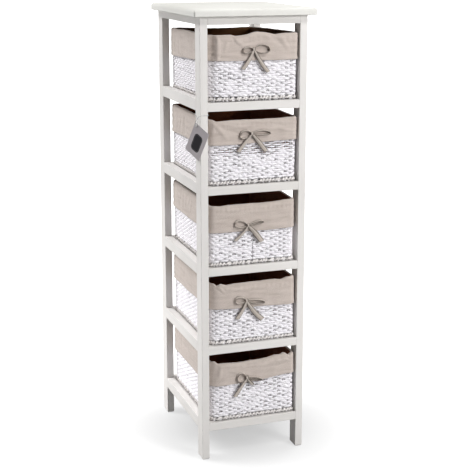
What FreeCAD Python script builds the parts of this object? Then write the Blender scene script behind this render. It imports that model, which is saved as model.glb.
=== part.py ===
import FreeCAD, Part
import math
import os

from FreeCAD import Vector as V

# ---------------------------------------------------------------------------
# Tall narrow chest of five drawers: an open painted wooden frame with a solid
# top panel, and five lift-out woven baskets that slide on thin shelf boards.
# Millimetres. Origin: middle of the footprint of the whole unit, on the floor.
# +X is the right-hand side seen from the front, +Y the rear, +Z up.
# ---------------------------------------------------------------------------

# ---- driving dimensions: frame ----
FRAME_W = 236.0          # over the posts, left to right
FRAME_D = 314.0          # over the posts, front to rear
POST_X = 16.5            # post thickness, left to right
POST_Y = 33.0            # post depth, front to rear
POST_H = 965.0           # floor to the underside of the top panel
TOP_T = 15.0             # top panel thickness
TOP_OVER_SIDE = 16.5     # top panel overhang, left and right
TOP_OVER_FRONT = 16.0    # top panel overhang at the front
TOP_OVER_REAR = 2.0      # top panel overhang at the rear
LEVELS = 5
LEVEL_0 = 66.0           # underside of the lowest rails
LEVEL_PITCH = 176.4      # spacing of the levels
RAIL_T = 16.5            # rail thickness
RAIL_H_FRONT = 18.0      # height of the front and rear rails
RAIL_H_SIDE = 24.0       # height of the side rails
TOP_RAIL_H = 17.0        # height of the rails under the top panel
SHELF_T = 3.0            # shelf board thickness
GROOVE = 4.0             # depth of the groove in the side rails
REBATE = 6.0             # width of the rebate in the front and rear rails
EASE = 1.0               # eased long edges of posts and rails
FOOT_EASE = 3.5          # rounding at the foot of each post
TOP_EASE = 6.0           # rounding of the top panel's upper edge

# ---- driving dimensions: fixings ----
DOWEL_A_R, DOWEL_A_L = 3.0, 23.0     # front and rear rails, 6 mm dowels
DOWEL_B_R, DOWEL_B_L = 4.0, 30.0     # side rails, 8 mm dowels
DOWEL_GAP = 0.05                     # glue gap round a dowel
DOWEL_END = 0.5                      # air at each end of a dowel
SCREW_R, SCREW_HEAD_R, SCREW_L = 2.0, 4.0, 25.0

# ---- driving dimensions: drawers ----
BASKET_W = 194.0         # woven body, outside
BASKET_D = 276.0
BASKET_H = 138.5
BASKET_RECESS = 5.0      # front of the weave behind the front of the posts
BASKET_R = 10.0          # outside corner radius
WALL = 7.0               # thickness of the woven wall
FLOOR_T = 6.0            # thickness of the woven bottom
SIT = 0.3                # air under a basket, over its shelf
BASE_BRAID_OUT = 1.8     # how far the plaited base border stands proud
BASE_BRAID_H = 9.0
LINER_GAP = 0.15         # air between the liner and the weave
LINER_T = 1.0            # lining inside the basket
FLAP_T = 1.9             # flap outside the basket, with its slack
FLAP_H = 54.0            # flap height below the rim
RIM_T = 1.3              # cloth over the rim
WIRE_R = 1.25            # hoops of the wire frame inside the weave
WIRE_UP_R = 0.95         # its thinner uprights
WIRE_GAP = 0.12
TRAVEL = 280.0           # slide of a drawer until it lifts off

# ---- driving dimensions: hang tag ----
TAG_W, TAG_H, TAG_T = 46.0, 66.5, 0.8
TAG_TURN = 64.0          # turn of the card about the vertical
TAG_TILT = 28.0          # lean of the card in its own plane
TAG_EYE_U, TAG_EYE_Z = -10.0, 743.5   # eyelet: along the card from the post's corner, and its height
EYE_IN_X, EYE_IN_Z = 6.0, 4.6        # eyelet from the card's left and top edges
LOOP_R = 0.6             # thickness of the moulded loop, as a radius

os.makedirs("parts", exist_ok=True)

total_d = TOP_OVER_FRONT + FRAME_D + TOP_OVER_REAR
XL = -FRAME_W / 2.0                      # outer left face of the frame
XR = FRAME_W / 2.0
YF = -total_d / 2.0 + TOP_OVER_FRONT     # front face of the posts
YR = YF + FRAME_D                        # rear face of the posts
IN_X = FRAME_W / 2.0 - POST_X            # half the clear width of a bay
YF_IN = YF + POST_Y                      # rear face of the front posts
YR_IN = YR - POST_Y                      # front face of the rear posts

levels = [LEVEL_0 + LEVEL_PITCH * i for i in range(LEVELS)]
levels.reverse()                         # level 1 is the highest


def box(x0, x1, y0, y1, z0, z1):
    return Part.makeBox(x1 - x0, y1 - y0, z1 - z0, V(x0, y0, z0))


def ease(shape, radius, want):
    edges = [e for e in shape.Edges if want(e)]
    return shape.makeFillet(radius, edges) if edges else shape


def along(e, axis):
    if len(e.Vertexes) != 2:
        return False
    d = e.Vertexes[1].Point.sub(e.Vertexes[0].Point)
    n = d.Length
    if n < 1e-6:
        return False
    return abs(getattr(d, axis)) > 0.999 * n


def rounded_block(x0, x1, y0, y1, z0, z1, r):
    b = box(x0, x1, y0, y1, z0, z1)
    return ease(b, r, lambda e: along(e, "z"))


def save(shape, name):
    solids = shape.Solids
    shape = solids[0] if len(solids) == 1 else Part.makeCompound(solids)
    shape.exportStep("parts/" + name + ".step")
    print("%-20s solids %3d  volume %11.1f mm3  valid %s" % (name, len(solids), sum(s.Volume for s in solids), shape.isValid()))


# ---------------------------------------------------------------------------
# dowels: their places drive the holes in posts and rails
# ---------------------------------------------------------------------------
dowels_a = []            # along X, in the front and rear rails
dowels_b = []            # along Y, in the side rails
rail_y = {"front": (YF, YF + RAIL_T), "rear": (YR - RAIL_T, YR)}
rail_x = {"left": (XL, XL + RAIL_T), "right": (XR - RAIL_T, XR)}
DOWEL_A_IN = 8.0         # depth of a 6 mm dowel in the post

rows = [(z, 8.0, 12.0) for z in levels] + [(POST_H - TOP_RAIL_H, 8.5, 8.5)]
for z, up_a, up_b in rows:
    for side in ("front", "rear"):
        y = sum(rail_y[side]) / 2.0
        for sx in (-1, 1):
            x_out = sx * (IN_X + DOWEL_A_IN)
            dowels_a.append((V(x_out, y, z + up_a), V(-sx, 0, 0)))
    for side in ("left", "right"):
        x = sum(rail_x[side]) / 2.0
        dowels_b.append((V(x, YF_IN - DOWEL_B_L / 2.0, z + up_b), V(0, 1, 0)))
        dowels_b.append((V(x, YR_IN + DOWEL_B_L / 2.0, z + up_b), V(0, -1, 0)))


def dowel(p, d, r, length):
    c = Part.makeCylinder(r, length, p, d)
    return c.makeChamfer(0.6, [e for e in c.Edges if len(e.Vertexes) == 1])


def bore(p, d, r, length):
    return Part.makeCylinder(r + DOWEL_GAP, length + 2 * DOWEL_END, p.sub(V(d).multiply(DOWEL_END)), d)


bores = [bore(p, d, DOWEL_A_R, DOWEL_A_L) for p, d in dowels_a] + [bore(p, d, DOWEL_B_R, DOWEL_B_L) for p, d in dowels_b]


def drill(shape):
    bb = shape.BoundBox
    near = [b for b in bores if bb.intersect(b.BoundBox)]
    return shape.cut(Part.makeCompound(near)) if near else shape


# ---------------------------------------------------------------------------
# posts
# ---------------------------------------------------------------------------
for name, x0, y0 in (
    ("post_front_left", XL, YF),
    ("post_front_right", XR - POST_X, YF),
    ("post_rear_left", XL, YR - POST_Y),
    ("post_rear_right", XR - POST_X, YR - POST_Y),
):
    p = box(x0, x0 + POST_X, y0, y0 + POST_Y, 0, POST_H)
    p = ease(p, EASE, lambda e: along(e, "z"))
    foot = [e for e in p.Edges if all(abs(v.Z) < 1e-6 for v in e.Vertexes)]
    try:
        p = p.makeFillet(FOOT_EASE, foot)
    except Exception:
        p = p.makeChamfer(FOOT_EASE * 0.6, foot)
    save(drill(p), name)

# ---------------------------------------------------------------------------
# top panel, with pilot holes for its screws
# ---------------------------------------------------------------------------
screw_at = [
    (sum(rail_x["left"]) / 2.0, -70.0),
    (sum(rail_x["left"]) / 2.0, 84.0),
    (sum(rail_x["right"]) / 2.0, -70.0),
    (sum(rail_x["right"]) / 2.0, 84.0),
    (0.0, sum(rail_y["front"]) / 2.0),
    (0.0, sum(rail_y["rear"]) / 2.0),
]
z_rail_top = POST_H - TOP_RAIL_H
top = box(XL - TOP_OVER_SIDE, XR + TOP_OVER_SIDE, YF - TOP_OVER_FRONT, YR + TOP_OVER_REAR, POST_H, POST_H + TOP_T)
top = ease(top, 4.0, lambda e: along(e, "z"))
upper = [e for e in top.Edges if all(abs(v.Z - POST_H - TOP_T) < 1e-6 for v in e.Vertexes)]
top = top.makeFillet(TOP_EASE, upper)
lower = [e for e in top.Edges if all(abs(v.Z - POST_H) < 1e-6 for v in e.Vertexes)]
top = top.makeFillet(2.0, lower)
for x, y in screw_at:
    top = top.cut(Part.makeCylinder(SCREW_R + DOWEL_GAP, SCREW_L - TOP_RAIL_H + 1.2, V(x, y, POST_H - 0.001)))
save(top, "top_panel")

screws = []
for x, y in screw_at:
    z0 = z_rail_top + 0.4
    pts = [
        V(0, 0, 0), V(SCREW_HEAD_R, 0, 0), V(SCREW_HEAD_R, 0, 0.5), V(SCREW_R, 0, 2.6), V(SCREW_R, 0, SCREW_L - 3.0),
        V(0.4, 0, SCREW_L), V(0, 0, SCREW_L), V(0, 0, 0),
    ]
    s = Part.Face(Part.makePolygon(pts)).revolve(V(0, 0, 0), V(0, 0, 1), 360)
    # cross recess in the head
    cross = box(-2.2, 2.2, -0.45, 0.45, -0.1, 1.3).fuse(box(-0.45, 0.45, -2.2, 2.2, -0.1, 1.3))
    s = s.cut(cross)
    s.translate(V(x, y, z0))
    screws.append(s.Solids[0])
save(Part.makeCompound(screws), "top_panel_screws")


def screw_hole(x, y):
    clear = Part.makeCylinder(SCREW_R + 0.3, TOP_RAIL_H + 2, V(x, y, z_rail_top - 1))
    seat = Part.makeCone(SCREW_HEAD_R + 1.05, SCREW_R + 0.3, 3.75, V(x, y, z_rail_top - 0.001))
    return clear.fuse(seat)


# ---------------------------------------------------------------------------
# rails under the top panel
# ---------------------------------------------------------------------------
for side in ("front", "rear"):
    y0, y1 = rail_y[side]
    r = box(-IN_X, IN_X, y0, y1, z_rail_top, POST_H)
    r = ease(r, EASE, lambda e: along(e, "x") and abs(e.Vertexes[0].Z - z_rail_top) < 1e-6)
    r = r.cut(screw_hole(0.0, (y0 + y1) / 2.0))
    save(drill(r), "top_rail_" + side)
for side in ("left", "right"):
    x0, x1 = rail_x[side]
    r = box(x0, x1, YF_IN, YR_IN, z_rail_top, POST_H)
    r = ease(r, EASE, lambda e: along(e, "y") and abs(e.Vertexes[0].Z - z_rail_top) < 1e-6)
    for y in (-70.0, 84.0):
        r = r.cut(screw_hole((x0 + x1) / 2.0, y))
    save(drill(r), "top_rail_" + side)

# ---------------------------------------------------------------------------
# level rails and shelf boards
# ---------------------------------------------------------------------------
for i, z in enumerate(levels):
    n = i + 1
    zs0, zs1 = z + RAIL_H_FRONT - SHELF_T, z + RAIL_H_FRONT
    for side in ("front", "rear"):
        y0, y1 = rail_y[side]
        r = box(-IN_X, IN_X, y0, y1, z, z + RAIL_H_FRONT)
        outer = y0 if side == "front" else y1
        r = ease(r, EASE, lambda e: along(e, "x") and (abs(e.Vertexes[0].Y - outer) < 1e-6 or abs(e.Vertexes[0].Z - z) < 1e-6))
        if side == "front":
            r = r.cut(box(-IN_X, IN_X, y1 - REBATE, y1 + 1, zs0, zs1 + 1))
        else:
            r = r.cut(box(-IN_X, IN_X, y0 - 1, y0 + REBATE, zs0, zs1 + 1))
        save(drill(r), "rail_%d_%s" % (n, side))
    for side in ("left", "right"):
        x0, x1 = rail_x[side]
        r = box(x0, x1, YF_IN, YR_IN, z, z + RAIL_H_SIDE)
        r = ease(r, EASE, lambda e: along(e, "y"))
        if side == "left":
            r = r.cut(box(x1 - GROOVE, x1 + 1, YF_IN, YR_IN, zs0, zs1))
        else:
            r = r.cut(box(x0 - 1, x0 + GROOVE, YF_IN, YR_IN, zs0, zs1))
        save(drill(r), "rail_%d_%s" % (n, side))
    board = box(-IN_X, IN_X, rail_y["front"][1] - REBATE, rail_y["rear"][0] + REBATE, zs0, zs1)
    board = board.fuse(box(-IN_X - GROOVE, IN_X + GROOVE, YF_IN, YR_IN, zs0, zs1)).removeSplitter()
    save(board, "shelf_%d" % n)

save(Part.makeCompound([dowel(p, d, DOWEL_A_R, DOWEL_A_L) for p, d in dowels_a]), "dowels_front_rear")
save(Part.makeCompound([dowel(p, d, DOWEL_B_R, DOWEL_B_L) for p, d in dowels_b]), "dowels_side")

# ---------------------------------------------------------------------------
# drawers, modelled once with the basket's underside at z = 0, then repeated
# ---------------------------------------------------------------------------
BX = BASKET_W / 2.0
BY0 = YF + BASKET_RECESS
BY1 = BY0 + BASKET_D


def ring_block(grow, z0, z1):
    """The basket's outline grown outwards by grow (or inwards if negative)."""
    return rounded_block(-BX - grow, BX + grow, BY0 - grow, BY1 + grow, z0, z1, max(BASKET_R + grow, 1.0))


def hoop(inset, z, r):
    """A closed wire hoop, inset from the basket's outline."""
    x0, x1, y0, y1 = -BX + inset, BX - inset, BY0 + inset, BY1 - inset
    c = BASKET_R - inset
    s = None
    for a, b in (
        (V(x0 + c, y0, z), V(x1 - c, y0, z)),
        (V(x1, y0 + c, z), V(x1, y1 - c, z)),
        (V(x1 - c, y1, z), V(x0 + c, y1, z)),
        (V(x0, y1 - c, z), V(x0, y0 + c, z)),
    ):
        d = b.sub(a)
        k = Part.makeCylinder(r, d.Length, a, d)
        s = k if s is None else s.fuse(k)
    for cx, cy, a0 in ((x1 - c, y0 + c, 270), (x1 - c, y1 - c, 0), (x0 + c, y1 - c, 90), (x0 + c, y0 + c, 180)):
        t = Part.makeTorus(c, r, V(cx, cy, z), V(0, 0, 1), -180, 180, 90)
        t.rotate(V(cx, cy, z), V(0, 0, 1), a0)
        s = s.fuse(t)
    return s


def wires(air):
    """The wire frame grown by air: two hoops and the uprights welded between them."""
    r = WIRE_R + air
    inset = WALL / 2.0
    z_lo, z_hi = 4.0, BASKET_H - 4.5
    s = hoop(inset, z_lo, r).fuse(hoop(inset, z_hi, r))
    c = BASKET_R - inset
    k = c * (1 - math.sqrt(0.5))
    places = []
    for sx in (-1, 1):
        for sy, y in ((-1, BY0), (1, BY1)):
            places.append((sx * (BX - inset - k), y - sy * (inset + k)))
    places += [(sx * 31.0, y) for sx in (-1, 1) for y in (BY0 + inset, BY1 - inset)]
    mid = (BY0 + BY1) / 2.0
    places += [(sx * (BX - inset), mid + dy) for sx in (-1, 1) for dy in (-66.0, 0.0, 66.0)]
    for x, y in places:
        s = s.fuse(Part.makeCylinder(WIRE_UP_R + air, z_hi - z_lo, V(x, y, z_lo)))
    return s


wire = wires(0.0)
channel = wires(WIRE_GAP)

weave = ring_block(0.0, 0.0, BASKET_H)
braid = ring_block(BASE_BRAID_OUT, 0.0, BASE_BRAID_H)
braid = ease(braid, 1.7, lambda e: all(v.Z < 1e-6 or v.Z > BASE_BRAID_H - 1e-6 for v in e.Vertexes) and not along(e, "z"))
weave = weave.fuse(braid)
weave = weave.cut(ring_block(-WALL, FLOOR_T, BASKET_H + 10)).removeSplitter()
weave = weave.cut(channel)
inner_block = ring_block(-WALL - LINER_GAP, FLOOR_T + LINER_GAP, BASKET_H + LINER_GAP + RIM_T)
liner = ring_block(LINER_GAP + FLAP_T, BASKET_H + LINER_GAP + RIM_T - FLAP_H, BASKET_H + LINER_GAP + RIM_T)
liner = liner.cut(rounded_block(-BX - LINER_GAP, BX + LINER_GAP, BY0 - LINER_GAP, BY1 + LINER_GAP, -5, BASKET_H + LINER_GAP, BASKET_R + LINER_GAP))
liner = liner.fuse(inner_block)
liner = liner.cut(ring_block(-WALL - LINER_GAP - LINER_T, FLOOR_T + LINER_GAP + LINER_T, BASKET_H + 20)).removeSplitter()

# the bow: a knot, two flattened loops and two tails, in front of the flap
FLAP_FRONT = BY0 - LINER_GAP - FLAP_T


def loop_solid(sx):
    outer = Part.makeCylinder(6.2, 5.0, V(0, 0, 0), V(0, 1, 0))
    m = FreeCAD.Matrix()
    m.scale(V(2.0, 1.0, 1.0))
    outer = outer.transformGeometry(m)
    outer.translate(V(sx * 13.0, 0, 0))
    return outer


def tail_solid(sx, length, lean):
    t = box(-3.6, 3.6, 0, 1.6, -length, 0)
    t.rotate(V(0, 0, 0), V(0, 1, 0), lean * sx)
    return t


def bow(x, z, lean):
    knot = box(-4.5, 4.5, 0, 7.0, -4.5, 4.5)
    knot = ease(knot, 1.8, lambda e: True)
    s = knot
    for k in (loop_solid(-1), loop_solid(1)):
        k.translate(V(0, 1.0, 0))
        s = s.fuse(k)
    for k in (tail_solid(-1, 46.0, -lean), tail_solid(1, 44.0, -lean)):
        k.translate(V(0, 2.0, -1.0))
        s = s.fuse(k)
    # stand it in front of the flap
    s.translate(V(x, FLAP_FRONT - 0.3 - 7.0, z))
    return s.removeSplitter()


# bow: across from the middle of the basket, height above its base, lean of the tails
bows = [(-1.7, 107.5, 30.0), (-5.3, 109.0, 32.0), (-13.0, 90.0, 30.0), (-16.4, 97.8, 30.0), (-14.7, 98.0, 30.0)]

for i, z in enumerate(levels):
    n = i + 1
    up = V(0, 0, z + RAIL_H_FRONT + SIT)
    for shape, name in ((weave, "basket_%d"), (wire, "wire_frame_%d"), (liner, "liner_%d"), (bow(*bows[i]), "bow_%d")):
        s = shape.copy()
        s.translate(up)
        save(s, name % n)

# ---------------------------------------------------------------------------
# hang tag: a plain card that leans on the corner of the front left post, its
# eyelet, and the moulded loop that goes from the eyelet round the side rail
# ---------------------------------------------------------------------------
a = math.radians(TAG_TURN)
u_dir = V(math.cos(a), -math.sin(a), 0)          # along the card, to the right
n_dir = V(-math.sin(a), -math.cos(a), 0)         # out of the card, away from the post
corner = V(XL, YF, 0)
tag_origin = corner + n_dir * 1.1                # a vertical line in the back face of the card
t = math.radians(TAG_TILT)
tag_right = u_dir * math.cos(t) + V(0, 0, -1) * math.sin(t)
tag_up = V(0, 0, 1) * math.cos(t) + u_dir * math.sin(t)
eye = tag_origin + u_dir * TAG_EYE_U + V(0, 0, TAG_EYE_Z)


def on_card(px, pz, lift):
    """A point px to the right and pz down from the card's top left corner."""
    return eye + tag_right * (px - EYE_IN_X) + tag_up * (EYE_IN_Z - pz) + n_dir * lift


c0, c1, c2, c3 = on_card(0, 0, 0), on_card(TAG_W, 0, 0), on_card(TAG_W, TAG_H, 0), on_card(0, TAG_H, 0)
card = Part.Face(Part.makePolygon([c0, c1, c2, c3, c0])).extrude(n_dir * TAG_T)
card = card.makeFillet(1.5, [e for e in card.Edges if abs(e.Length - TAG_T) < 1e-6])
card = card.cut(Part.makeCylinder(2.35, TAG_T + 4, eye - n_dir * 2, n_dir))
save(card, "hang_tag")
barrel = Part.makeCylinder(2.25, TAG_T + 0.5, eye - n_dir * 0.25, n_dir)
flange_a = Part.makeCylinder(3.3, 0.35, eye + n_dir * (TAG_T + 0.05), n_dir)
flange_b = Part.makeCylinder(3.3, 0.35, eye - n_dir * 0.4, n_dir)
eyelet = barrel.fuse([flange_a, flange_b]).cut(Part.makeCylinder(1.7, TAG_T + 6, eye - n_dir * 3, n_dir)).removeSplitter()
save(eyelet, "tag_eyelet")

# the loop goes through the eyelet and once round the post, above the second
# drawer's rim and below the first level's rails
g = 1.3                                            # air between the loop and the post
z_loop = levels[0] - 6.5
loop_pts = [
    eye + n_dir * 2.4 + V(0, 0, -0.5),
    eye + n_dir * 2.4 + V(0, 0, 7.0),
    V(XL - 1.8, YF - 2.0, z_loop - 1.0),
    V(-IN_X + g, YF - g, z_loop),
    V(-IN_X + g, YF_IN + g, z_loop),
    V(XL - g, YF_IN + g, z_loop),
    V(XL - 2.6, YF + 16.0, z_loop - 4.5),
    eye - n_dir * 1.8 + V(0, 0, 4.5),
    eye - n_dir * 1.6 + V(0, 0, 0.3),
]
loop = None
for k, q in enumerate(loop_pts):
    d = q.sub(loop_pts[k - 1])
    rod = Part.makeCylinder(LOOP_R, d.Length, loop_pts[k - 1], d)
    for piece in (rod, Part.makeSphere(LOOP_R, q)):
        loop = piece if loop is None else loop.fuse(piece)
save(loop, "tag_loop")
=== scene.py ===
import math

import bpy
import numpy as np
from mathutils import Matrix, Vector


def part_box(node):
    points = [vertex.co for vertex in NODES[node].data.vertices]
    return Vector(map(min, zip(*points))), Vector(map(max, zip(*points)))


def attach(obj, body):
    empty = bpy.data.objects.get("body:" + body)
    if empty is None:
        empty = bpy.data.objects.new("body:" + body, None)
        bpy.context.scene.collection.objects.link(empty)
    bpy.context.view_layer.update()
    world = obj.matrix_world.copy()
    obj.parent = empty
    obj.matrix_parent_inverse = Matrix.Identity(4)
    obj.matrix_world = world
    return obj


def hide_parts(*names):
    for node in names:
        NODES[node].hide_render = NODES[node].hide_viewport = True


# Tall narrow chest of five woven drawers in an open painted wooden frame.
# Everything is in metres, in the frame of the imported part: +X right, +Y rear, +Z up.

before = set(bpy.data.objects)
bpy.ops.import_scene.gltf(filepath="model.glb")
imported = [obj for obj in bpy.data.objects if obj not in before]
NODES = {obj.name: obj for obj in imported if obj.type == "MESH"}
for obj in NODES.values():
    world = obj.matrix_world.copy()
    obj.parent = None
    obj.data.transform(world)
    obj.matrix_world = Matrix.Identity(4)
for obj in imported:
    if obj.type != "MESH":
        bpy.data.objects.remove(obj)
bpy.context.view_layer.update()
MM = 0.001
DRAWERS = (1, 2, 3, 4, 5)

# outline of a basket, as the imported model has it
BX = 0.0970                    # half the width over the weave
BY0, BY1 = -0.145, 0.131       # front and rear of the weave
BR = 0.010                     # outside corner radius
BH = 0.1385                    # height of the weave
FLAP_TOP = 0.13995             # top of the liner over the rim
FLAP_H = 0.054                 # flap height

# ---------------------------------------------------------------------------
# mesh helpers
# ---------------------------------------------------------------------------


def build(name, verts, quads, uvs=None, tris=None, smooth=True, materials=(), mat_ids=None, tone=None):
    """An object from numpy arrays of vertices, quads and optional triangles, with optional UVs for each quad corner."""
    verts = np.asarray(verts, np.float32).reshape(-1, 3)
    quads = np.asarray(quads, np.int32).reshape(-1, 4)
    n_quads = len(quads)
    loops = quads.ravel()
    starts = np.arange(n_quads, dtype=np.int32) * 4
    totals = np.full(n_quads, 4, np.int32)
    if tris is not None and len(tris):
        tris = np.asarray(tris, np.int32).reshape(-1, 3)
        starts = np.concatenate([starts, len(loops) + np.arange(len(tris), dtype=np.int32) * 3])
        totals = np.concatenate([totals, np.full(len(tris), 3, np.int32)])
        loops = np.concatenate([loops, tris.ravel()])
    me = bpy.data.meshes.new(name)
    me.vertices.add(len(verts))
    me.vertices.foreach_set("co", verts.ravel())
    me.loops.add(len(loops))
    me.loops.foreach_set("vertex_index", loops)
    me.polygons.add(len(starts))
    me.polygons.foreach_set("loop_start", starts)
    me.polygons.foreach_set("loop_total", totals)
    if uvs is not None:
        layer = me.uv_layers.new(name="UVMap")
        flat = np.zeros((len(loops), 2), np.float32)
        uvs = np.asarray(uvs, np.float32).reshape(-1, 2)
        flat[: len(uvs)] = uvs
        layer.data.foreach_set("uv", flat.ravel())
    for m in materials:
        me.materials.append(m)
    if mat_ids is not None:
        me.polygons.foreach_set("material_index", np.asarray(mat_ids, np.int32))
    # a painted shade tone for each vertex, which the rope material reads
    if tone is not None:
        me.attributes.new("painted_shade_tone", "FLOAT", "POINT").data.foreach_set("value", np.asarray(tone, np.float32))
    me.update(calc_edges=True)
    me.validate(clean_customdata=False)
    me.polygons.foreach_set("use_smooth", np.full(len(me.polygons), smooth, bool))
    me.update()
    ob = bpy.data.objects.new(name, me)
    bpy.context.scene.collection.objects.link(ob)
    return ob


def grid_quads(rows, cols, wrap_rows=False, wrap_cols=False, base=0):
    """Quads of a grid whose vertex (i, j) is base + i * cols + j."""
    i = np.arange(rows if wrap_rows else rows - 1)
    j = np.arange(cols if wrap_cols else cols - 1)
    ii, jj = np.meshgrid(i, j, indexing="ij")
    i2, j2 = (ii + 1) % rows, (jj + 1) % cols
    q = np.stack([ii * cols + jj, i2 * cols + jj, i2 * cols + j2, ii * cols + j2], -1).reshape(-1, 4)
    return q + base


def grid_uvs(u, v):
    """UVs of grid_quads' corners: u has one value more than the quads have rows, and v one more than they have columns."""
    uu, vv = np.meshgrid(u, v, indexing="ij")
    a = np.stack([uu, vv], -1)
    return np.stack([a[:-1, :-1], a[1:, :-1], a[1:, 1:], a[:-1, 1:]], 2).reshape(-1, 2)


def signed_volume(verts, quads):
    v = np.asarray(verts, float).reshape(-1, 3)
    q = np.asarray(quads).reshape(-1, 4)
    a, b, c, d = v[q[:, 0]], v[q[:, 1]], v[q[:, 2]], v[q[:, 3]]
    return float((a * np.cross(b, c)).sum() + (a * np.cross(c, d)).sum()) / 6


def wave_noise(rng, count, octaves, period):
    """A smooth periodic random function of s in metres, about -1 to 1, made of a few sines round the outline."""
    k = np.arange(1, count + 1) * octaves
    a = rng.normal(size=count) / np.sqrt(np.arange(1, count + 1))
    p = rng.uniform(0, 2 * math.pi, count)
    scale = 1.0 / max(1e-9, np.abs(a).sum() * 0.5)

    def f(s):
        s = np.asarray(s, float)[..., None]
        return (a * np.sin(2 * math.pi * np.round(k) * s / period + p)).sum(-1) * scale

    return f


def smoothstep(a, b, x):
    t = np.clip((np.asarray(x, float) - a) / (b - a), 0, 1)
    return t * t * (3 - 2 * t)


# ---------------------------------------------------------------------------
# the outline of a basket: s runs from the middle of the rear, down the left
# side, along the front to the right, and back up the right side
# ---------------------------------------------------------------------------
_HALF_REAR = BX - BR
_SIDE = (BY1 - BY0) - 2 * BR
_ARC = BR * math.pi / 2
_KNOTS = np.cumsum([0, _HALF_REAR, _ARC, _SIDE, _ARC, 2 * _HALF_REAR, _ARC, _SIDE, _ARC, _HALF_REAR])
LOOP = float(_KNOTS[-1])
S_FRONT = float(_KNOTS[4] + _HALF_REAR)          # s at the middle of the front
S_FL, S_FR = float(_KNOTS[3] + _ARC / 2), float(_KNOTS[5] + _ARC / 2)
S_RL, S_RR = float(_KNOTS[1] + _ARC / 2), float(_KNOTS[7] + _ARC / 2)
S_LEFT = float((_KNOTS[2] + _KNOTS[3]) / 2)
S_RIGHT = float((_KNOTS[6] + _KNOTS[7]) / 2)


def outline(s):
    """Points (x, y) on the outline and outward normals, for s in metres."""
    s = np.mod(np.asarray(s, float), LOOP)
    x, y, nx, ny = (np.zeros_like(s) for _ in range(4))

    def line(k, x0, y0, dx, dy, mx, my):
        m = (s >= _KNOTS[k]) & (s <= _KNOTS[k + 1])
        t = s[m] - _KNOTS[k]
        x[m], y[m], nx[m], ny[m] = x0 + dx * t, y0 + dy * t, mx, my

    def arc(k, cx, cy, a0):
        m = (s > _KNOTS[k]) & (s < _KNOTS[k + 1])
        a = a0 + (s[m] - _KNOTS[k]) / BR
        nx[m], ny[m] = np.cos(a), np.sin(a)
        x[m], y[m] = cx + BR * nx[m], cy + BR * ny[m]

    line(0, 0, BY1, -1, 0, 0, 1)
    arc(1, -BX + BR, BY1 - BR, math.pi / 2)
    line(2, -BX, BY1 - BR, 0, -1, -1, 0)
    arc(3, -BX + BR, BY0 + BR, math.pi)
    line(4, -BX + BR, BY0, 1, 0, 0, -1)
    arc(5, BX - BR, BY0 + BR, math.pi * 1.5)
    line(6, BX, BY0 + BR, 0, 1, 1, 0)
    arc(7, BX - BR, BY1 - BR, 0)
    line(8, BX - BR, BY1, -1, 0, 0, 1)
    return x, y, nx, ny


# eight places round the outline: rear left corner, left side, front left, front middle, front right,
# right side, rear right, rear middle
PLACES = [S_RL, S_LEFT, S_FL, S_FRONT, S_FR, S_RIGHT, S_RR, 0.0]
# how much higher or lower the rim of each drawer is there, in millimetres
RIM = {
    1: (-4.6, -2.4, -1.6, 1.2, -1.0, -2.6, -6.4, -7.4),
    2: (0.2, -0.3, 0.9, 0.5, -0.9, 0.2, -0.3, 0.3),
    3: (0.0, -1.0, -2.4, -1.8, -1.2, 0.3, 0.0, -0.4),
    4: (0.1, 0.2, 0.8, 0.6, 0.8, 0.0, -0.5, 0.1),
    5: (0.2, -0.2, 0.2, -0.2, 0.6, 0.2, 0.0, -0.4),
}
# how far the sides belly out half way along, in millimetres: left and right
BELLY = {1: (1.2, 1.3), 2: (0.9, 1.2), 3: (0.5, 0.1), 4: (1.2, 0.8), 5: (1.2, 0.9)}
# single rises and dips of the rim: place, half width, height in millimetres
RISES = {
    1: [(S_FRONT + 0.008, 0.026, 2.2), (S_FRONT - 0.048, 0.022, -0.8), (S_LEFT + 0.03, 0.03, -0.8)],
    2: [(S_FRONT - 0.020, 0.030, -0.7), (S_LEFT - 0.05, 0.03, 0.8)],
    3: [(S_FRONT - 0.005, 0.045, -0.7), (S_FRONT - 0.080, 0.012, 0.8)],
    4: [(S_FRONT - 0.070, 0.012, 0.6), (S_RIGHT, 0.04, -1.0)],
    5: [(S_FRONT + 0.002, 0.042, -2.6), (S_FRONT + 0.080, 0.016, 1.0)],
}
# how far the front left corner is pushed in, in millimetres, and over what width
PINCH = {1: (7.0, 0.0115), 2: (1.8, 0.014), 3: (1.2, 0.014), 4: (4.4, 0.013), 5: (4.0, 0.013)}


# shape of the front rim: across, and how much lower it is, in millimetres
FRONT_DROP = {
    1: ((-97, -1.3), (-80, -1.8), (-62, -2.0), (-50, -2.1), (-40, -5.4), (-28, -5.6), (-14, -5.2), (-4, -2.6), (6, -1.4),
        (20, -1.8), (34, -2.2), (46, -4.6), (58, -2.2), (70, -1.0), (85, -0.6), (97, 0)),
    2: ((-97, -0.5), (-90, -1.2), (-82, -5.4), (-62, -3.9), (-46, -2.8), (-20, -2.2), (0, -2.9), (18, -3.4), (40, -2.7),
        (56, -2.3), (70, -1.0), (97, 0)),
    3: ((-97, -4.4), (-84, -5.2), (-74, -6.3), (-58, -4.1), (-36, -3.8), (0, -3.8), (24, -4.4), (40, -4.0), (60, -3.2),
        (72, -2.2), (90, -1.6), (97, -1.0)),
    4: ((-97, -1.6), (-90, -1.9), (-83, -7.8), (-73, -3.4), (-62, -6.9), (-45, -5.3), (-26, -4.8), (-8, -3.9), (16, -3.8),
        (50, -3.0), (66, -5.8), (78, -1.6), (97, 0)),
    5: ((-97, -3.0), (-89, -0.9), (-81, -7.4), (-70, -6.9), (-40, -7.7), (-22, -6.4), (-6, -4.4), (16, -4.4), (32, -4.0),
        (52, -0.8), (64, -2.5), (74, 1.0), (83, -7.0), (90, -2.5), (97, -0.5)),
}
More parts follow.
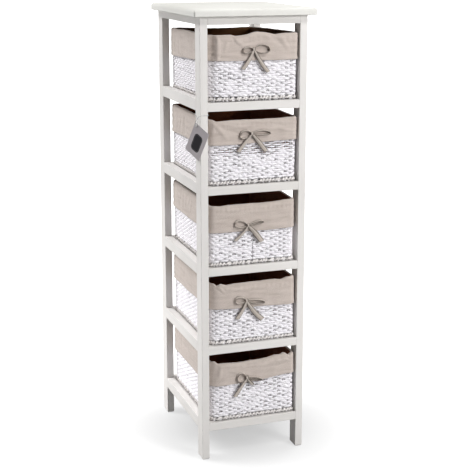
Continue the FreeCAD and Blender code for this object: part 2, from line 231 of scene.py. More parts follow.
# how far the right side leans out at its foot and at its rim, in millimetres
LEAN = {1: (0.6, 1.4), 2: (0.0, 1.6), 3: (-2.2, -2.6), 4: (2.0, -1.0), 5: (2.6, 0.6)}


def front_drop(n, s):
    x = (s - S_FRONT) * 1000
    table = np.array(FRONT_DROP[n])
    return 0.001 * np.interp(x, table[:, 0], table[:, 1]) * smoothstep(165, 105, np.abs(x))


def rim_height(n, s):
    """Height of the rim over its drawn height, in metres."""
    h = round_the_loop(RIM[n])(s)
    for at, half, rise in RISES[n]:
        away = np.mod(s - at + LOOP / 2, LOOP) - LOOP / 2
        h = h + rise * np.exp(-(away / half) ** 2)
    return 0.001 * h


def round_the_loop(values):
    """A smooth periodic function of s through values at PLACES."""
    at = np.array(PLACES)
    order = np.argsort(at)
    at, val = at[order], np.array(values, float)[order]
    at = np.concatenate([at - LOOP, at, at + LOOP])
    val = np.tile(val, 3)

    def f(s):
        s = np.mod(np.asarray(s, float), LOOP)
        i = np.clip(np.searchsorted(at, s, side="right") - 1, 0, len(at) - 2)
        t = (s - at[i]) / (at[i + 1] - at[i])
        t = t * t * (3 - 2 * t)
        return val[i] * (1 - t) + val[i + 1] * t

    return f


def s_near(x, y):
    """About where on the outline a point (x, y) is."""
    u = x / BX
    v = (y - (BY0 + BY1) / 2) / ((BY1 - BY0) / 2)
    m = np.maximum(np.maximum(np.abs(u), np.abs(v)), 1e-9)
    u, v = u / m, v / m
    s = np.where(v <= -0.9999999, S_FRONT + u * (S_FR - S_FRONT), -u * S_RL)
    s = np.where(u <= -0.9999999, S_LEFT - v * (S_FL - S_LEFT), s)
    return np.where(u >= 0.9999999, S_RIGHT + v * (S_RR - S_RIGHT), s)


def settle(n, points):
    """Moves points of drawer n as that basket has sagged and bellied in use."""
    p = np.array(points, float)
    flat = p.reshape(-1, 3)
    x, y, z = flat.T
    base = float(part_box("basket_%d" % n)[0].z)
    h = np.clip((z - base) / FLAP_TOP, 0, 1.02)
    near = s_near(x, y)
    flat[:, 2] += rim_height(n, near) * h ** 1.6 + front_drop(n, near) * h ** 6
    mid, half = (BY0 + BY1) / 2, (BY1 - BY0) / 2
    along = np.clip(1 - ((y - mid) / half) ** 2, 0, 1)
    side = smoothstep(0.080, 0.095, np.abs(x))
    out = np.where(x < 0, BELLY[n][0], BELLY[n][1]) * 0.001
    flat[:, 0] += np.sign(x) * side * out * (0.45 + 0.55 * along) * np.sin(np.clip(h, 0, 1) * math.pi * 0.62) ** 1.2
    flat[:, 0] += 0.001 * smoothstep(0.050, 0.095, x) * (LEAN[n][0] + (LEAN[n][1] - LEAN[n][0]) * h)
    pushed, wide = PINCH[n]
    near = np.exp(-(((x + BX) / wide) ** 2 + ((y - BY0) / wide) ** 2)) * (0.5 + 0.5 * h)
    flat[:, 0] += 0.001 * pushed * near
    flat[:, 1] += 0.001 * pushed * near
    front = smoothstep(-0.125, -0.142, y)
    flat[:, 1] -= front * 0.0007 * np.clip(1 - (x / BX) ** 2, 0, 1) * np.sin(np.clip(h, 0, 1) * math.pi * 0.8)
    return flat.reshape(p.shape)


# ---------------------------------------------------------------------------
# materials
# ---------------------------------------------------------------------------


class Mat:
    """A small node builder for one Principled material."""

    def __init__(self, name, rough=0.5, **sockets):
        self.m = bpy.data.materials.new(name)
        self.m.use_nodes = True
        self.t = self.m.node_tree
        self.t.nodes.clear()
        self.out = self.t.nodes.new("ShaderNodeOutputMaterial")
        self.p = self.t.nodes.new("ShaderNodeBsdfPrincipled")
        self.t.links.new(self.p.outputs[0], self.out.inputs[0])
        self.p.inputs["Roughness"].default_value = rough
        for k, v in sockets.items():
            self.p.inputs[k].default_value = v

    def node(self, kind, **props):
        n = self.t.nodes.new("ShaderNode" + kind)
        for k, v in props.items():
            setattr(n, k, v)
        return n

    def link(self, a, b):
        self.t.links.new(a, b)

    def value(self, sock, v):
        if hasattr(v, "is_output") or isinstance(v, bpy.types.NodeSocket):
            self.link(v, sock)
        else:
            sock.default_value = v

    def coords(self, scale=(1, 1, 1), rotation=(0, 0, 0), kind="Object", offset=(0, 0, 0)):
        c = self.node("TexCoord")
        m = self.node("Mapping")
        self.link(c.outputs[kind], m.inputs["Vector"])
        m.inputs["Scale"].default_value = scale
        m.inputs["Rotation"].default_value = rotation
        m.inputs["Location"].default_value = offset
        return m.outputs[0]

    def uv(self):
        n = self.node("UVMap", uv_map="UVMap")
        s = self.node("SeparateXYZ")
        self.link(n.outputs[0], s.inputs[0])
        return s.outputs[0], s.outputs[1]

    def noise(self, vector, scale=5.0, detail=3.0, rough=0.5, distortion=0.0):
        n = self.node("TexNoise")
        self.link(vector, n.inputs["Vector"])
        n.inputs["Scale"].default_value = scale
        n.inputs["Detail"].default_value = detail
        n.inputs["Roughness"].default_value = rough
        n.inputs["Distortion"].default_value = distortion
        return n.outputs[0]

    def math(self, op, a, b=0.0, c=0.0, clamp=False):
        n = self.node("Math", operation=op, use_clamp=clamp)
        self.value(n.inputs[0], a)
        self.value(n.inputs[1], b)
        if len(n.inputs) > 2:
            self.value(n.inputs[2], c)
        return n.outputs[0]

    def ramp(self, fac, stops):
        n = self.node("ValToRGB")
        self.link(fac, n.inputs[0])
        e = n.color_ramp.elements
        while len(e) > len(stops):
            e.remove(e[-1])
        while len(e) < len(stops):
            e.new(0.5)
        for el, (pos, col) in zip(e, stops):
            el.position = pos
            el.color = (*col, 1) if len(col) == 3 else col
        return n.outputs[0]

    def range(self, v, a, b, c, d):
        n = self.node("MapRange")
        self.value(n.inputs[0], v)
        for i, x in enumerate((a, b, c, d)):
            n.inputs[i + 1].default_value = x
        return n.outputs[0]

    def mix(self, fac, a, b, kind="MIX"):
        n = self.node("MixRGB", blend_type=kind)
        self.value(n.inputs[0], fac)
        for k, v in ((1, a), (2, b)):
            if isinstance(v, (tuple, list)):
                n.inputs[k].default_value = (*v, 1) if len(v) == 3 else v
            else:
                self.link(v, n.inputs[k])
        return n.outputs[0]

    def combine(self, x, y, z):
        n = self.node("CombineXYZ")
        for i, v in enumerate((x, y, z)):
            self.value(n.inputs[i], v)
        return n.outputs[0]

    def bump(self, height, distance, strength=1.0, after=None):
        n = self.node("Bump")
        n.inputs["Distance"].default_value = distance
        n.inputs["Strength"].default_value = strength
        self.link(height, n.inputs["Height"])
        if after is not None:
            self.link(after, n.inputs["Normal"])
        return n.outputs[0]

    def finish(self, color=None, rough=None, normal=None):
        if color is not None:
            self.value(self.p.inputs["Base Color"], color)
        if rough is not None:
            self.value(self.p.inputs["Roughness"], rough)
        if normal is not None:
            self.link(normal, self.p.inputs["Normal"])
        return self.m


def painted_wood(name, base, axis, rough=0.46, gloss=0.30):
    """Sprayed satin paint over a fine straight grain that runs along one axis."""
    m = Mat(name, rough, **{"IOR": 1.48, "Specular IOR Level": gloss})
    long, across = 6.0, 330.0
    scale = [across] * 3
    scale["xyz".index(axis)] = long
    grain = m.noise(m.coords(scale), 1.0, 4.0, 0.62, 0.25)
    wide = [34.0] * 3
    wide["xyz".index(axis)] = 2.4
    broad = m.noise(m.coords(wide, offset=(3.1, 1.7, 5.3)), 1.0, 3.0, 0.5, 0.4)
    peel = m.noise(m.coords((1, 1, 1)), 900.0, 2.0, 0.5)
    patch = m.noise(m.coords((1, 1, 1), offset=(7.0, 2.0, 1.0)), 9.0, 3.0, 0.55)
    tone = m.math("ADD", m.math("MULTIPLY", broad, 0.55), m.math("MULTIPLY", patch, 0.45))
    light = tuple(min(1.0, c * 1.035) for c in base)
    dark = tuple(c * f for c, f in zip(base, (0.945, 0.94, 0.93)))
    color = m.ramp(tone, [(0.3, dark), (0.52, base), (0.72, light)])
    pores = m.range(grain, 0.30, 0.46, 1.0, 0.0)
    color = m.mix(m.math("MULTIPLY", pores, 0.16), color, tuple(c * 0.78 for c in base))
    height = m.math("ADD", m.math("MULTIPLY", grain, 0.8), m.math("MULTIPLY", peel, 0.2))
    normal = m.bump(height, 0.00022, 0.55)
    rough_v = m.range(patch, 0.3, 0.7, rough - 0.06, rough + 0.08)
    return m.finish(color, rough_v, normal)


def bare_wood(name):
    m = Mat(name, 0.6, **{"Specular IOR Level": 0.3})
    g = m.noise(m.coords((300, 300, 300)), 1.0, 4.0, 0.6, 0.4)
    color = m.ramp(g, [(0.3, (0.46, 0.31, 0.18)), (0.7, (0.68, 0.5, 0.32))])
    return m.finish(color, m.range(g, 0.3, 0.7, 0.5, 0.68), m.bump(g, 0.0002, 0.5))


def metal(name, base, rough, brush=1.0):
    m = Mat(name, rough, Metallic=1.0)
    g = m.noise(m.coords((1200, 200, 1200)), 1.0, 3.0, 0.6)
    color = m.ramp(g, [(0.3, tuple(c * 0.86 for c in base)), (0.7, base)])
    return m.finish(color, m.range(g, 0.3, 0.7, rough - 0.07, rough + 0.1), m.bump(g, 0.00004, 0.4 * brush))


def coated_wire(name):
    m = Mat(name, 0.4, **{"Specular IOR Level": 0.5})
    g = m.noise(m.coords((1, 1, 1)), 700.0, 3.0, 0.5)
    color = m.ramp(g, [(0.3, (0.70, 0.69, 0.68)), (0.7, (0.82, 0.81, 0.80))])
    return m.finish(color, m.range(g, 0.3, 0.7, 0.34, 0.5), m.bump(g, 0.0001, 0.4))


def paper_rope(name, base, pitch=0.0105, turns=2.0):
    """Twisted paper cord. U is the length along the cord in metres and V goes once round it."""
    m = Mat(name, 0.72, **{"Specular IOR Level": 0.22})
    u, v = m.uv()
    phase = m.math("ADD", m.math("MULTIPLY", u, 2 * math.pi / pitch), m.math("MULTIPLY", v, 2 * math.pi * turns))
    strand = m.math("ABSOLUTE", m.math("SINE", m.math("MULTIPLY", phase, 0.5)))
    along = m.combine(m.math("MULTIPLY", u, 900.0), m.math("MULTIPLY", m.math("ADD", v, m.math("MULTIPLY", u, 1.0 / pitch)), 9.0), 0.0)
    crease = m.noise(along, 1.0, 3.0, 0.6, 0.3)
    slow = m.noise(m.combine(m.math("MULTIPLY", u, 42.0), m.math("MULTIPLY", v, 0.6), 0.0), 1.0, 2.0, 0.5)
    dark = tuple(c * f for c, f in zip(base, (0.91, 0.90, 0.92)))
    color = m.ramp(m.math("ADD", m.math("MULTIPLY", crease, 0.5), m.math("MULTIPLY", slow, 0.5)),
                   [(0.3, dark), (0.5, base), (0.72, tuple(min(1, c * 1.05) for c in base))])
    # painted shade in the grooves between the twisted plies
    painted_groove_shade = m.range(strand, 0.0, 0.35, 1.0, 0.0)
    color = m.mix(m.math("MULTIPLY", painted_groove_shade, 0.20), color, tuple(c * 0.66 for c in base))
    # painted shade of the weave's recesses and gaps, from the vertex attribute
    tone = m.node("Attribute", attribute_name="painted_shade_tone").outputs["Fac"]
    color = m.mix(m.math("SUBTRACT", 1.0, tone), color, tuple(c * f for c, f in zip(base, (0.10, 0.085, 0.085))))
    n1 = m.bump(strand, 0.00075, 0.8)
    n2 = m.bump(crease, 0.00022, 0.6, n1)
    return m.finish(color, m.range(crease, 0.3, 0.7, 0.62, 0.85), n2)


def cotton(name, base, pitch=0.00062, fuzz=0.25, depth=1.0, slub=0.32, edge=None):
    """Plain woven cotton. U and V are lengths along the cloth in metres."""
    m = Mat(name, 0.9, **{"Specular IOR Level": 0.15, "Sheen Weight": fuzz, "Sheen Roughness": 0.6})
    u, v = m.uv()
    k = 2 * math.pi / pitch
    a = m.math("SINE", m.math("MULTIPLY", u, k))
    b = m.math("SINE", m.math("MULTIPLY", v, k))
    weave = m.math("MULTIPLY", a, b)
    warp = m.noise(m.combine(m.math("MULTIPLY", u, 1100.0), m.math("MULTIPLY", v, 90.0), 0.0), 1.0, 3.0, 0.6)
    weft = m.noise(m.combine(m.math("MULTIPLY", u, 26.0), m.math("MULTIPLY", v, 1500.0), 4.0), 1.0, 3.0, 0.6)
    slow = m.noise(m.combine(m.math("MULTIPLY", u, 22.0), m.math("MULTIPLY", v, 120.0), 2.0), 1.0, 3.0, 0.5)
    thread = m.math("ADD", m.math("MULTIPLY", warp, 0.28), m.math("MULTIPLY", weft, 0.72))
    tone = m.math("ADD", m.math("MULTIPLY", thread, slub), m.math("MULTIPLY", slow, 1 - slub))
    dark = tuple(c * f for c, f in zip(base, (0.88, 0.865, 0.85)))
    light = tuple(min(1.0, c * 1.07) for c in base)
    color = m.ramp(tone, [(0.32, dark), (0.5, base), (0.68, light)])
    # painted shade in the hollows between the threads
    color = m.mix(m.range(weave, -1.0, 1.0, 0.10, 0.0), color, tuple(c * 0.7 for c in base))
    # painted shade along the ribbon's edges, standing in for the shadows round its loops and tails
    if edge:
        painted_edge_shade = m.range(m.math("ABSOLUTE", v), edge[0], edge[1], 0.0, 0.95)
        color = m.mix(painted_edge_shade, color, tuple(c * f for c, f in zip(base, (0.15, 0.125, 0.105))))
    h = m.math("ADD", m.math("MULTIPLY", weave, 0.35), m.math("MULTIPLY", thread, 0.9))
    return m.finish(color, m.range(tone, 0.3, 0.7, 0.84, 0.96), m.bump(h, 0.00022 * depth, 0.7))


PAINT = (0.800, 0.776, 0.752)
TOP_PAINT = (0.785, 0.777, 0.738)
M_POST = painted_wood("paint_posts", PAINT, "z")
M_RAIL_X = painted_wood("paint_cross_rails", PAINT, "x")
M_RAIL_Y = painted_wood("paint_side_rails", PAINT, "y")
M_TOP = painted_wood("paint_top", TOP_PAINT, "y", 0.55, 0.20)
M_SHELF = painted_wood("paint_shelves", tuple(c * 0.96 for c in PAINT), "y", 0.5)
M_DOWEL = bare_wood("beech_dowels")
M_SCREW = metal("screw_steel", (0.62, 0.61, 0.60), 0.34)
M_EYELET = metal("eyelet_metal", (0.86, 0.85, 0.84), 0.24)
M_WIRE = coated_wire("coated_wire")
M_ROPE = paper_rope("paper_rope", (0.960, 0.935, 0.968))
M_BRAID = paper_rope("paper_rope_border", (0.90, 0.865, 0.845), 0.006, 3.0)
M_FLAP = cotton("liner_cotton", (0.585, 0.508, 0.460))
# the bag inside is coloured a dark brown that stands in for the shade inside the basket; drawer 1's copy is darker
# still, as painted shade
M_SHADED_LINING = cotton("lining_painted_shade", (0.205, 0.066, 0.028), fuzz=0.05)
M_SHADED_LINING_1 = cotton("lining_painted_shade_1", (0.118, 0.052, 0.020), fuzz=0.05)
# the ribbon's edges carry painted shade
M_RIBBON = cotton("bow_ribbon", (0.560, 0.498, 0.446), 0.0005, 0.2, 1.2, edge=(0.0020, 0.0030))

# ---------------------------------------------------------------------------
# the wooden frame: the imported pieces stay, with painted surfaces
# ---------------------------------------------------------------------------


def paint(node, mat):
    for slot in NODES[node].material_slots:
        slot.material = mat


for n in NODES:
    if n.startswith("post_"):
        paint(n, M_POST)
    elif n == "top_panel":
        paint(n, M_TOP)
    elif n == "top_panel_screws":
        paint(n, M_SCREW)
    elif n.startswith("shelf_"):
        paint(n, M_SHELF)
    elif n.startswith("dowels_"):
        paint(n, M_DOWEL)
    elif n == "tag_eyelet":
        paint(n, M_EYELET)
    elif "rail" in n:
        paint(n, M_RAIL_X if n.endswith(("front", "rear")) else M_RAIL_Y)

# ---------------------------------------------------------------------------
# woven baskets
# ---------------------------------------------------------------------------
STAKES = 88
STAKE_GAP = LOOP / STAKES
ROW_PITCH = 0.00462
BRAID_H = 0.009


class Parts:
    """Collects pieces of one mesh."""

    def __init__(self):
        self.v, self.q, self.uv, self.m, self.t, self.n = [], [], [], [], [], 0

    def add(self, verts, quads, uvs, mat=0, tone=1.0):
        verts = np.asarray(verts, float).reshape(-1, 3)
        self.t.append(np.broadcast_to(np.ravel(tone), len(verts)))
        if signed_volume(verts, quads) < 0:
            quads = quads[:, ::-1]
            uvs = uvs.reshape(-1, 4, 2)[:, ::-1].reshape(-1, 2)
        self.v.append(verts)
        self.q.append(quads + self.n)
        self.uv.append(uvs)
        self.m.append(np.full(len(quads), mat))
        self.n += len(verts)

    def object(self, name, materials, shape=lambda v: v):
        return build(name, shape(np.concatenate(self.v)), np.concatenate(self.q), np.concatenate(self.uv),
                     materials=materials, mat_ids=np.concatenate(self.m), tone=np.concatenate(self.t))


def painted_recess_shade(inside, near=0.0018, far=0.0032, dark=0.03):
    """Painted shade: how light a point of the weave is that lies so far inside the outline, darker the deeper it lies
    in a recess.
    """
    return 1.0 - (1.0 - dark) * smoothstep(near, far, inside)


def ring_tube(parts, s, depth, z, a, b, sides, u_off=0.0, mat=0, turn=0.0, shade=painted_recess_shade):
    """A closed rope round the outline. depth is how far its middle is inside the outline, and a and b are its half
    sizes outward and upward. shade gives each point its painted shade tone.
    """
    x, y, nx, ny = outline(s)
    k = (np.arange(sides) + turn) * 2 * math.pi / sides
    a = np.broadcast_to(a, s.shape)
    b = np.broadcast_to(b, s.shape)
    out = -depth[:, None] + a[:, None] * np.cos(k)
    up = z[:, None] + b[:, None] * np.sin(k)
    verts = np.stack([x[:, None] + nx[:, None] * out, y[:, None] + ny[:, None] * out, up], -1)
    quads = grid_quads(len(s), sides, True, True)
    u = np.append(s, s[0] + LOOP) + u_off
    uvs = grid_uvs(u, np.arange(sides + 1) / sides)
    parts.add(verts, quads, uvs, mat, shade(-out))


SEAM = {3: S_FRONT - 0.0008, 4: S_FRONT + 0.0012}
# where rows have drawn apart on the front: height, half height, from, to (mm) and how much thinner the ropes are
SLACK = {
    1: [(82, 4, 40, 62, 0.35), (40, 60, -97, -60, 0.06)],
    2: [(84, 5, 20, 92, 0.30), (76, 5, -80, 95, 0.30), (66, 4, -92, 60, 0.22)],
    3: [(73, 4, 22, 88, 0.30), (60, 3, 30, 80, 0.15)],
    4: [(78, 3, -90, -40, 0.25), (70, 4, 10, 80, 0.18)],
    5: [(84, 4, 10, 80, 0.22), (70, 3, -20, 60, 0.16)],
}


def slack(n, s, z):
    out = np.zeros_like(s)
    for at, half, x0, x1, amount in SLACK[n]:
        if abs(z * 1000 - at) < half:
            x = (s - S_FRONT) * 1000
            out = np.maximum(out, amount * smoothstep(x0 - 6, x0 + 6, x) * smoothstep(x1 + 6, x1 - 6, x))
    return out


def flank(s):
    """1 on the front and the rear, less on the two sides, where the rows lie tighter and the weave gets less painted
    shade, as the sides catch more light.
    """
    x, y, nx, ny = outline(s)
    return 1.0 - 0.62 * np.abs(nx) ** 2


def woven_basket(n):
    rng = np.random.default_rng(4100 + n)
    base = float(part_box("basket_%d" % n)[0].z)
    parts = Parts()
    rows = int((BH - BRAID_H - 0.0045) / ROW_PITCH)
    shown_top = FLAP_TOP - FLAP_H + 0.006
    drift = wave_noise(rng, 5, 1, LOOP)
    for r in range(rows):
        z0 = BRAID_H + 0.0012 + ROW_PITCH * (r + 0.5)
        hidden = z0 > shown_top + 0.004
        steps = STAKES * (2 if hidden else 4)
        s = (np.arange(steps)) * LOOP / steps
        if n in SEAM:
            s = s[np.abs(s - SEAM[n]) > 0.0026]
            s = np.sort(np.concatenate([s, SEAM[n] + np.array((-0.0020, -0.0009, -0.0004, 0.0, 0.0004, 0.0009, 0.0020))]))
        phase = math.pi * s / STAKE_GAP + math.pi * r
        jitter = wave_noise(rng, 7, 9, LOOP)
        swell = wave_noise(rng, 9, 17, LOOP)
        # behind some stakes the rope is pulled in deeper and leaves a gap, which also gets painted shade below
        deep = np.where(rng.random(STAKES) < 0.56, rng.uniform(0.45, 1.0, STAKES), rng.uniform(0.0, 0.25, STAKES))
        deep = deep[np.mod(np.round(s / STAKE_GAP).astype(int), STAKES)] * np.clip(-np.cos(phase), 0, 1) ** 1.5
        deep = deep * flank(s)
        top = z0 > 0.124
        depth = 0.0028 - 0.0008 * np.cos(phase) * (0.5 if top else 1.0) + 0.0002 * jitter(s) + (0 if top else 0.0014) * deep
        z = z0 + 0.00042 * wave_noise(rng, 6, 5, LOOP)(s) + 0.0005 * drift(s)
        # between two stakes a rope that bulges out is also a little fuller
        fat = (1.0 + 0.07 * swell(s) + 0.07 * np.cos(phase)) * (0.8 if top else 1.0)
        depth = depth + 0.0002 * rng.normal()
        tall = fat * (1 - slack(n, s, z0)) * (1 - 0.16 * deep)
        if n in SEAM:
            # the rows meet at the middle of the front and leave a narrow slit
            depth = depth + (0.0026 if n == 3 else 0.0012) * np.exp(-((s - SEAM[n]) / 0.0008) ** 2)
        depth = np.maximum(depth, 0.0020 * fat)
        # how much painted shade each place gets: most where the rope is pulled in
        shaded = (flank(s) * (0.18 + 0.82 * np.clip(1.3 * deep, 0, 1)))[:, None]
        # the painted shade of a gap lies on the lower half of each rope, and its upper half stays light
        sides = 6 if hidden else 8
        upper = np.clip(np.sin(np.arange(sides) * 2 * math.pi / sides), 0, 1)[None, :]
        ring_tube(parts, s, depth, base + z, 0.0019 * fat, 0.00258 * tall, sides,
                  0.371 * r + 0.1 * n, 0, 0.5,
                  lambda inside: 1.0 - shaded * (1.0 - 0.65 * upper) * (1.0 - painted_recess_shade(inside)))
    # the stakes
    k = (np.arange(5)) * 2 * math.pi / 5
    zs = np.linspace(0.004, BH - 0.002, rows + 1)
    for j in range(STAKES):
        s0 = j * STAKE_GAP
        x, y, nx, ny = (float(c[0]) for c in outline(np.array([s0])))
        side = 1 if j % 2 else -1
        wav = 0.0004 * side * np.cos(np.pi * np.arange(len(zs)))
        d = 0.0035 + wav
        out = -d[:, None] + 0.0013 * np.cos(k)
        lat = 0.0013 * np.sin(k)[None, :] + 0.0002 * rng.normal(size=(len(zs), 1))
        verts = np.stack([x + nx * out - ny * lat, y + ny * out + nx * lat, np.broadcast_to(base + zs[:, None], out.shape)], -1)
        quads = grid_quads(len(zs), 5, False, True)
        uvs = grid_uvs(zs + 0.13 * j, np.arange(6) / 5)
        # close the two ends
        v = verts.reshape(-1, 3)
        m = len(v)
        v = np.concatenate([v, verts[0].mean(0)[None], verts[-1].mean(0)[None]])
        caps = []
        for i in range(0, 5, 2):
            i1, i2 = i % 5, (i + 1) % 5
            if i == 4:
                break
            caps.append([m, i1, i2, (i + 2) % 5])
            caps.append([m + 1, (len(zs) - 1) * 5 + (i + 2) % 5, (len(zs) - 1) * 5 + i2, (len(zs) - 1) * 5 + i1])
        quads = np.concatenate([quads, np.array(caps)])
        uvs = np.concatenate([uvs, np.zeros((len(caps) * 4, 2))])
        # the stakes take the painted recess shade as well
        parts.add(v, quads, uvs, 0, np.append(painted_recess_shade(-out).ravel(), (1, 1)))
    # the twisted border round the foot: two thick strands
    steps = 760
    s = np.arange(steps) * LOOP / steps
    turns = round(LOOP / 0.0148)
    for strand in (0, 1):
        ph = 2 * math.pi * turns * s / LOOP + math.pi * strand + 0.9 * wave_noise(rng, 5, 5, LOOP)(s)
        depth = 0.0034 - 0.0022 * np.cos(ph)
        z = 0.0055 + 0.0020 * np.sin(ph)
        full = 1.0 + 0.08 * wave_noise(rng, 7, 21, LOOP)(s)
        # painted shade on the underside of the border, which sits in the dark over the rail
        under = smoothstep(0.0018, 0.0046, z[:, None] + 0.00245 * np.sin(np.arange(9) * 2 * math.pi / 9))
        ring_tube(parts, s, depth, base + z, 0.00245 * full, 0.00245 * full, 9, 0.5 * strand, 1, 0.0,
                  lambda inside: 1.0 - flank(s)[:, None] * (1.0 - painted_recess_shade(inside, 0.0004, 0.0038, 0.60) * (0.12 + 0.88 * under)))
    # rim rope under the liner, with the painted recess shade
    s = np.arange(176) * LOOP / 176
    ring_tube(parts, s, np.full(s.shape, 0.0024), np.full(s.shape, base + BH - 0.0030), 0.0019, 0.0019, 6, 0.2, 0)
    # the woven bottom: rows along the depth, over and under cross stakes
    nx_, ny_ = 66, 100
    gx = np.linspace(-BX + 0.0032, BX - 0.0032, nx_)
    gy = np.linspace(BY0 + 0.0032, BY1 - 0.0032, ny_)
    xx, yy = np.meshgrid(gx, gy, indexing="ij")
    cell_x, cell_y = 0.0058, 0.0102
    w = np.cos(math.pi * xx / cell_x) * 0 + np.cos(math.pi * yy / cell_y + math.pi * np.floor(xx / cell_x))
    ridge = np.abs(np.cos(math.pi * xx / cell_x))
    under = base + 0.0022 - 0.0011 * ridge - 0.0007 * w
    top = np.full_like(under, base + 0.0052)
    # keep both sheets inside the rounded corners
    cx, cy = BX - BR, (BY1 - BY0) / 2 - BR
    mid = (BY0 + BY1) / 2
    ax, ay = np.maximum(np.abs(xx) - cx, 0), np.maximum(np.abs(yy - mid) - cy, 0)
    rad = np.hypot(ax, ay)
    lim = BR - 0.0032
    f = np.where(rad > lim, lim / np.maximum(rad, 1e-9), 1.0)
    px = np.where(ax > 0, np.sign(xx) * (cx + ax * f), xx)
    py = np.where(ay > 0, mid + np.sign(yy - mid) * (cy + ay * f), yy)
    lower = np.stack([px, py, under], -1).reshape(-1, 3)
    upper = np.stack([px, py, top], -1).reshape(-1, 3)
    q1 = grid_quads(nx_, ny_)
    q2 = grid_quads(nx_, ny_, base=nx_ * ny_)[:, ::-1]
    rim = np.concatenate([np.arange(ny_), (np.arange(1, nx_) * ny_ + ny_ - 1),
                          ((nx_ - 1) * ny_ + np.arange(ny_ - 2, -1, -1)), np.arange(nx_ - 2, 0, -1) * ny_])
    nxt = np.roll(rim, -1)
    q3 = np.stack([nxt, rim, rim + nx_ * ny_, nxt + nx_ * ny_], -1)
    uv1 = grid_uvs(gx * 1.0, gy * 1.0).reshape(-1, 4, 2)
    uv1 = np.stack([uv1[..., 1], uv1[..., 0] / 0.0116], -1)
    quads = np.concatenate([q1, q2, q3])
    uvs = np.concatenate([uv1.reshape(-1, 2), uv1[:, ::-1].reshape(-1, 2), np.zeros((len(q3) * 4, 2))])
    parts.add(np.concatenate([lower, upper]), quads, uvs, 0)
    ob = parts.object("woven_basket_%d" % n, [M_ROPE, M_BRAID], lambda v: settle(n, v))
    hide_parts("basket_%d" % n)
    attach(ob, "drawer_%d" % n)
    return ob


def wire_frame(n):
    """The coated wire inside the weave: a rim hoop, a base hoop and the uprights between them."""
    base = float(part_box("wire_frame_%d" % n)[0].z) - 0.0040 + 0.00125
    parts = Parts()
    lo, hi, inset, r_hoop, r_up = 0.0040, BH - 0.0045, 0.0035, 0.00125, 0.00095
    s = np.arange(200) * LOOP / 200
    for z in (lo, hi):
        ring_tube(parts, s, np.full(s.shape, inset), np.full(s.shape, base + z), r_hoop, r_hoop, 10, 0.0, 0, 0.0, np.ones_like)
    k = np.arange(8) * 2 * math.pi / 8
    zs = np.linspace(lo, hi, 24)
    half = 0.031
    at = [S_FL, S_FR, S_RL, S_RR, S_FRONT - half, S_FRONT + half, -half, half]
    at += [c + dy for c in (S_LEFT, S_RIGHT) for dy in (-0.066, 0.0, 0.066)]
    for s0 in at:
        x, y, nx, ny = (float(c[0]) for c in outline(np.array([s0])))
        ring = np.stack([x - nx * inset + r_up * np.cos(k), y - ny * inset + r_up * np.sin(k)], -1)
        verts = np.concatenate([np.broadcast_to(ring, (len(zs), 8, 2)), np.broadcast_to(base + zs[:, None, None], (len(zs), 8, 1))], -1)
        last = (len(zs) - 1) * 8
        caps = np.array([[3, 2, 1, 0], [4, 3, 0, 7], [5, 4, 7, 6],
                         [last, last + 1, last + 2, last + 3], [last + 7, last, last + 3, last + 4], [last + 6, last + 7, last + 4, last + 5]])
        quads = np.concatenate([grid_quads(len(zs), 8, False, True), caps])
        uvs = np.concatenate([grid_uvs(zs, np.arange(9) / 8), np.zeros((len(caps) * 4, 2))])
        parts.add(verts, quads, uvs)
    ob = parts.object("coated_wire_frame_%d" % n, [M_WIRE], lambda v: settle(n, v))
    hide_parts("wire_frame_%d" % n)
    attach(ob, "drawer_%d" % n)


for n in DRAWERS:
    woven_basket(n)
    wire_frame(n)

# ---------------------------------------------------------------------------
# liners: a beige flap folded over the rim, and a bag inside whose dark brown is painted shade of the basket's interior
# ---------------------------------------------------------------------------
# height of the flap's hem above the basket's underside, in millimetres, at the eight places
HEM = {
    1: (79.0, 81.5, 86.0, 84.0, 85.5, 84.0, 83.0, 84.0),
    2: (81.0, 81.5, 86.5, 88.5, 92.5, 86.0, 83.0, 82.0),
    3: (82.0, 80.0, 77.5, 77.0, 78.0, 82.0, 85.0, 84.0),
    4: (84.0, 84.0, 83.5, 81.5, 80.0, 83.0, 84.0, 83.0),
    5: (83.0, 83.5, 84.0, 88.0, 93.5, 87.0, 84.0, 84.0),
}

def sheet_to_object(name, grid, uv_u, uv_v, thickness, material, closed=True):
    """A cloth of some thickness from a grid of points (along the outline, across the cloth)."""
    n_u, n_v = grid.shape[:2]
    du = np.roll(grid, -1, 0) - np.roll(grid, 1, 0)
    dv = np.gradient(grid, axis=1)
    nrm = np.cross(du, dv)
    nrm /= np.maximum(np.linalg.norm(nrm, axis=-1, keepdims=True), 1e-12)
    back = grid - nrm * thickness
    verts = np.concatenate([grid.reshape(-1, 3), back.reshape(-1, 3)])
    q1 = grid_quads(n_u, n_v, True, False)
    q2 = q1[:, ::-1] + n_u * n_v
    i = np.arange(n_u)
    j = (i + 1) % n_u
    e0 = np.stack([j * n_v, i * n_v, i * n_v + n_u * n_v, j * n_v + n_u * n_v], -1)
    e1 = np.stack([i * n_v, j * n_v, j * n_v + n_u * n_v, i * n_v + n_u * n_v], -1) + n_v - 1
    uv1 = grid_uvs(uv_u, uv_v).reshape(-1, 4, 2)
    ue = np.stack([np.stack([uv_u[1:], uv_u[:-1], uv_u[:-1], uv_u[1:]], -1), np.full((n_u, 4), uv_v[0])], -1)
    uf = np.stack([np.stack([uv_u[:-1], uv_u[1:], uv_u[1:], uv_u[:-1]], -1), np.full((n_u, 4), uv_v[-1])], -1)
    quads = np.concatenate([q1, q2, e0, e1])
    uvs = np.concatenate([uv1.reshape(-1, 2), uv1[:, ::-1].reshape(-1, 2), ue.reshape(-1, 2), uf.reshape(-1, 2)])
    if signed_volume(verts, quads) < 0:
        quads = quads[:, ::-1]
        uvs = uvs.reshape(-1, 4, 2)[:, ::-1].reshape(-1, 2)
    return build(name, verts, quads, uvs, materials=[material])


N_AROUND = 340
BAND_IN = 0.0020        # how far the beige cloth reaches down inside


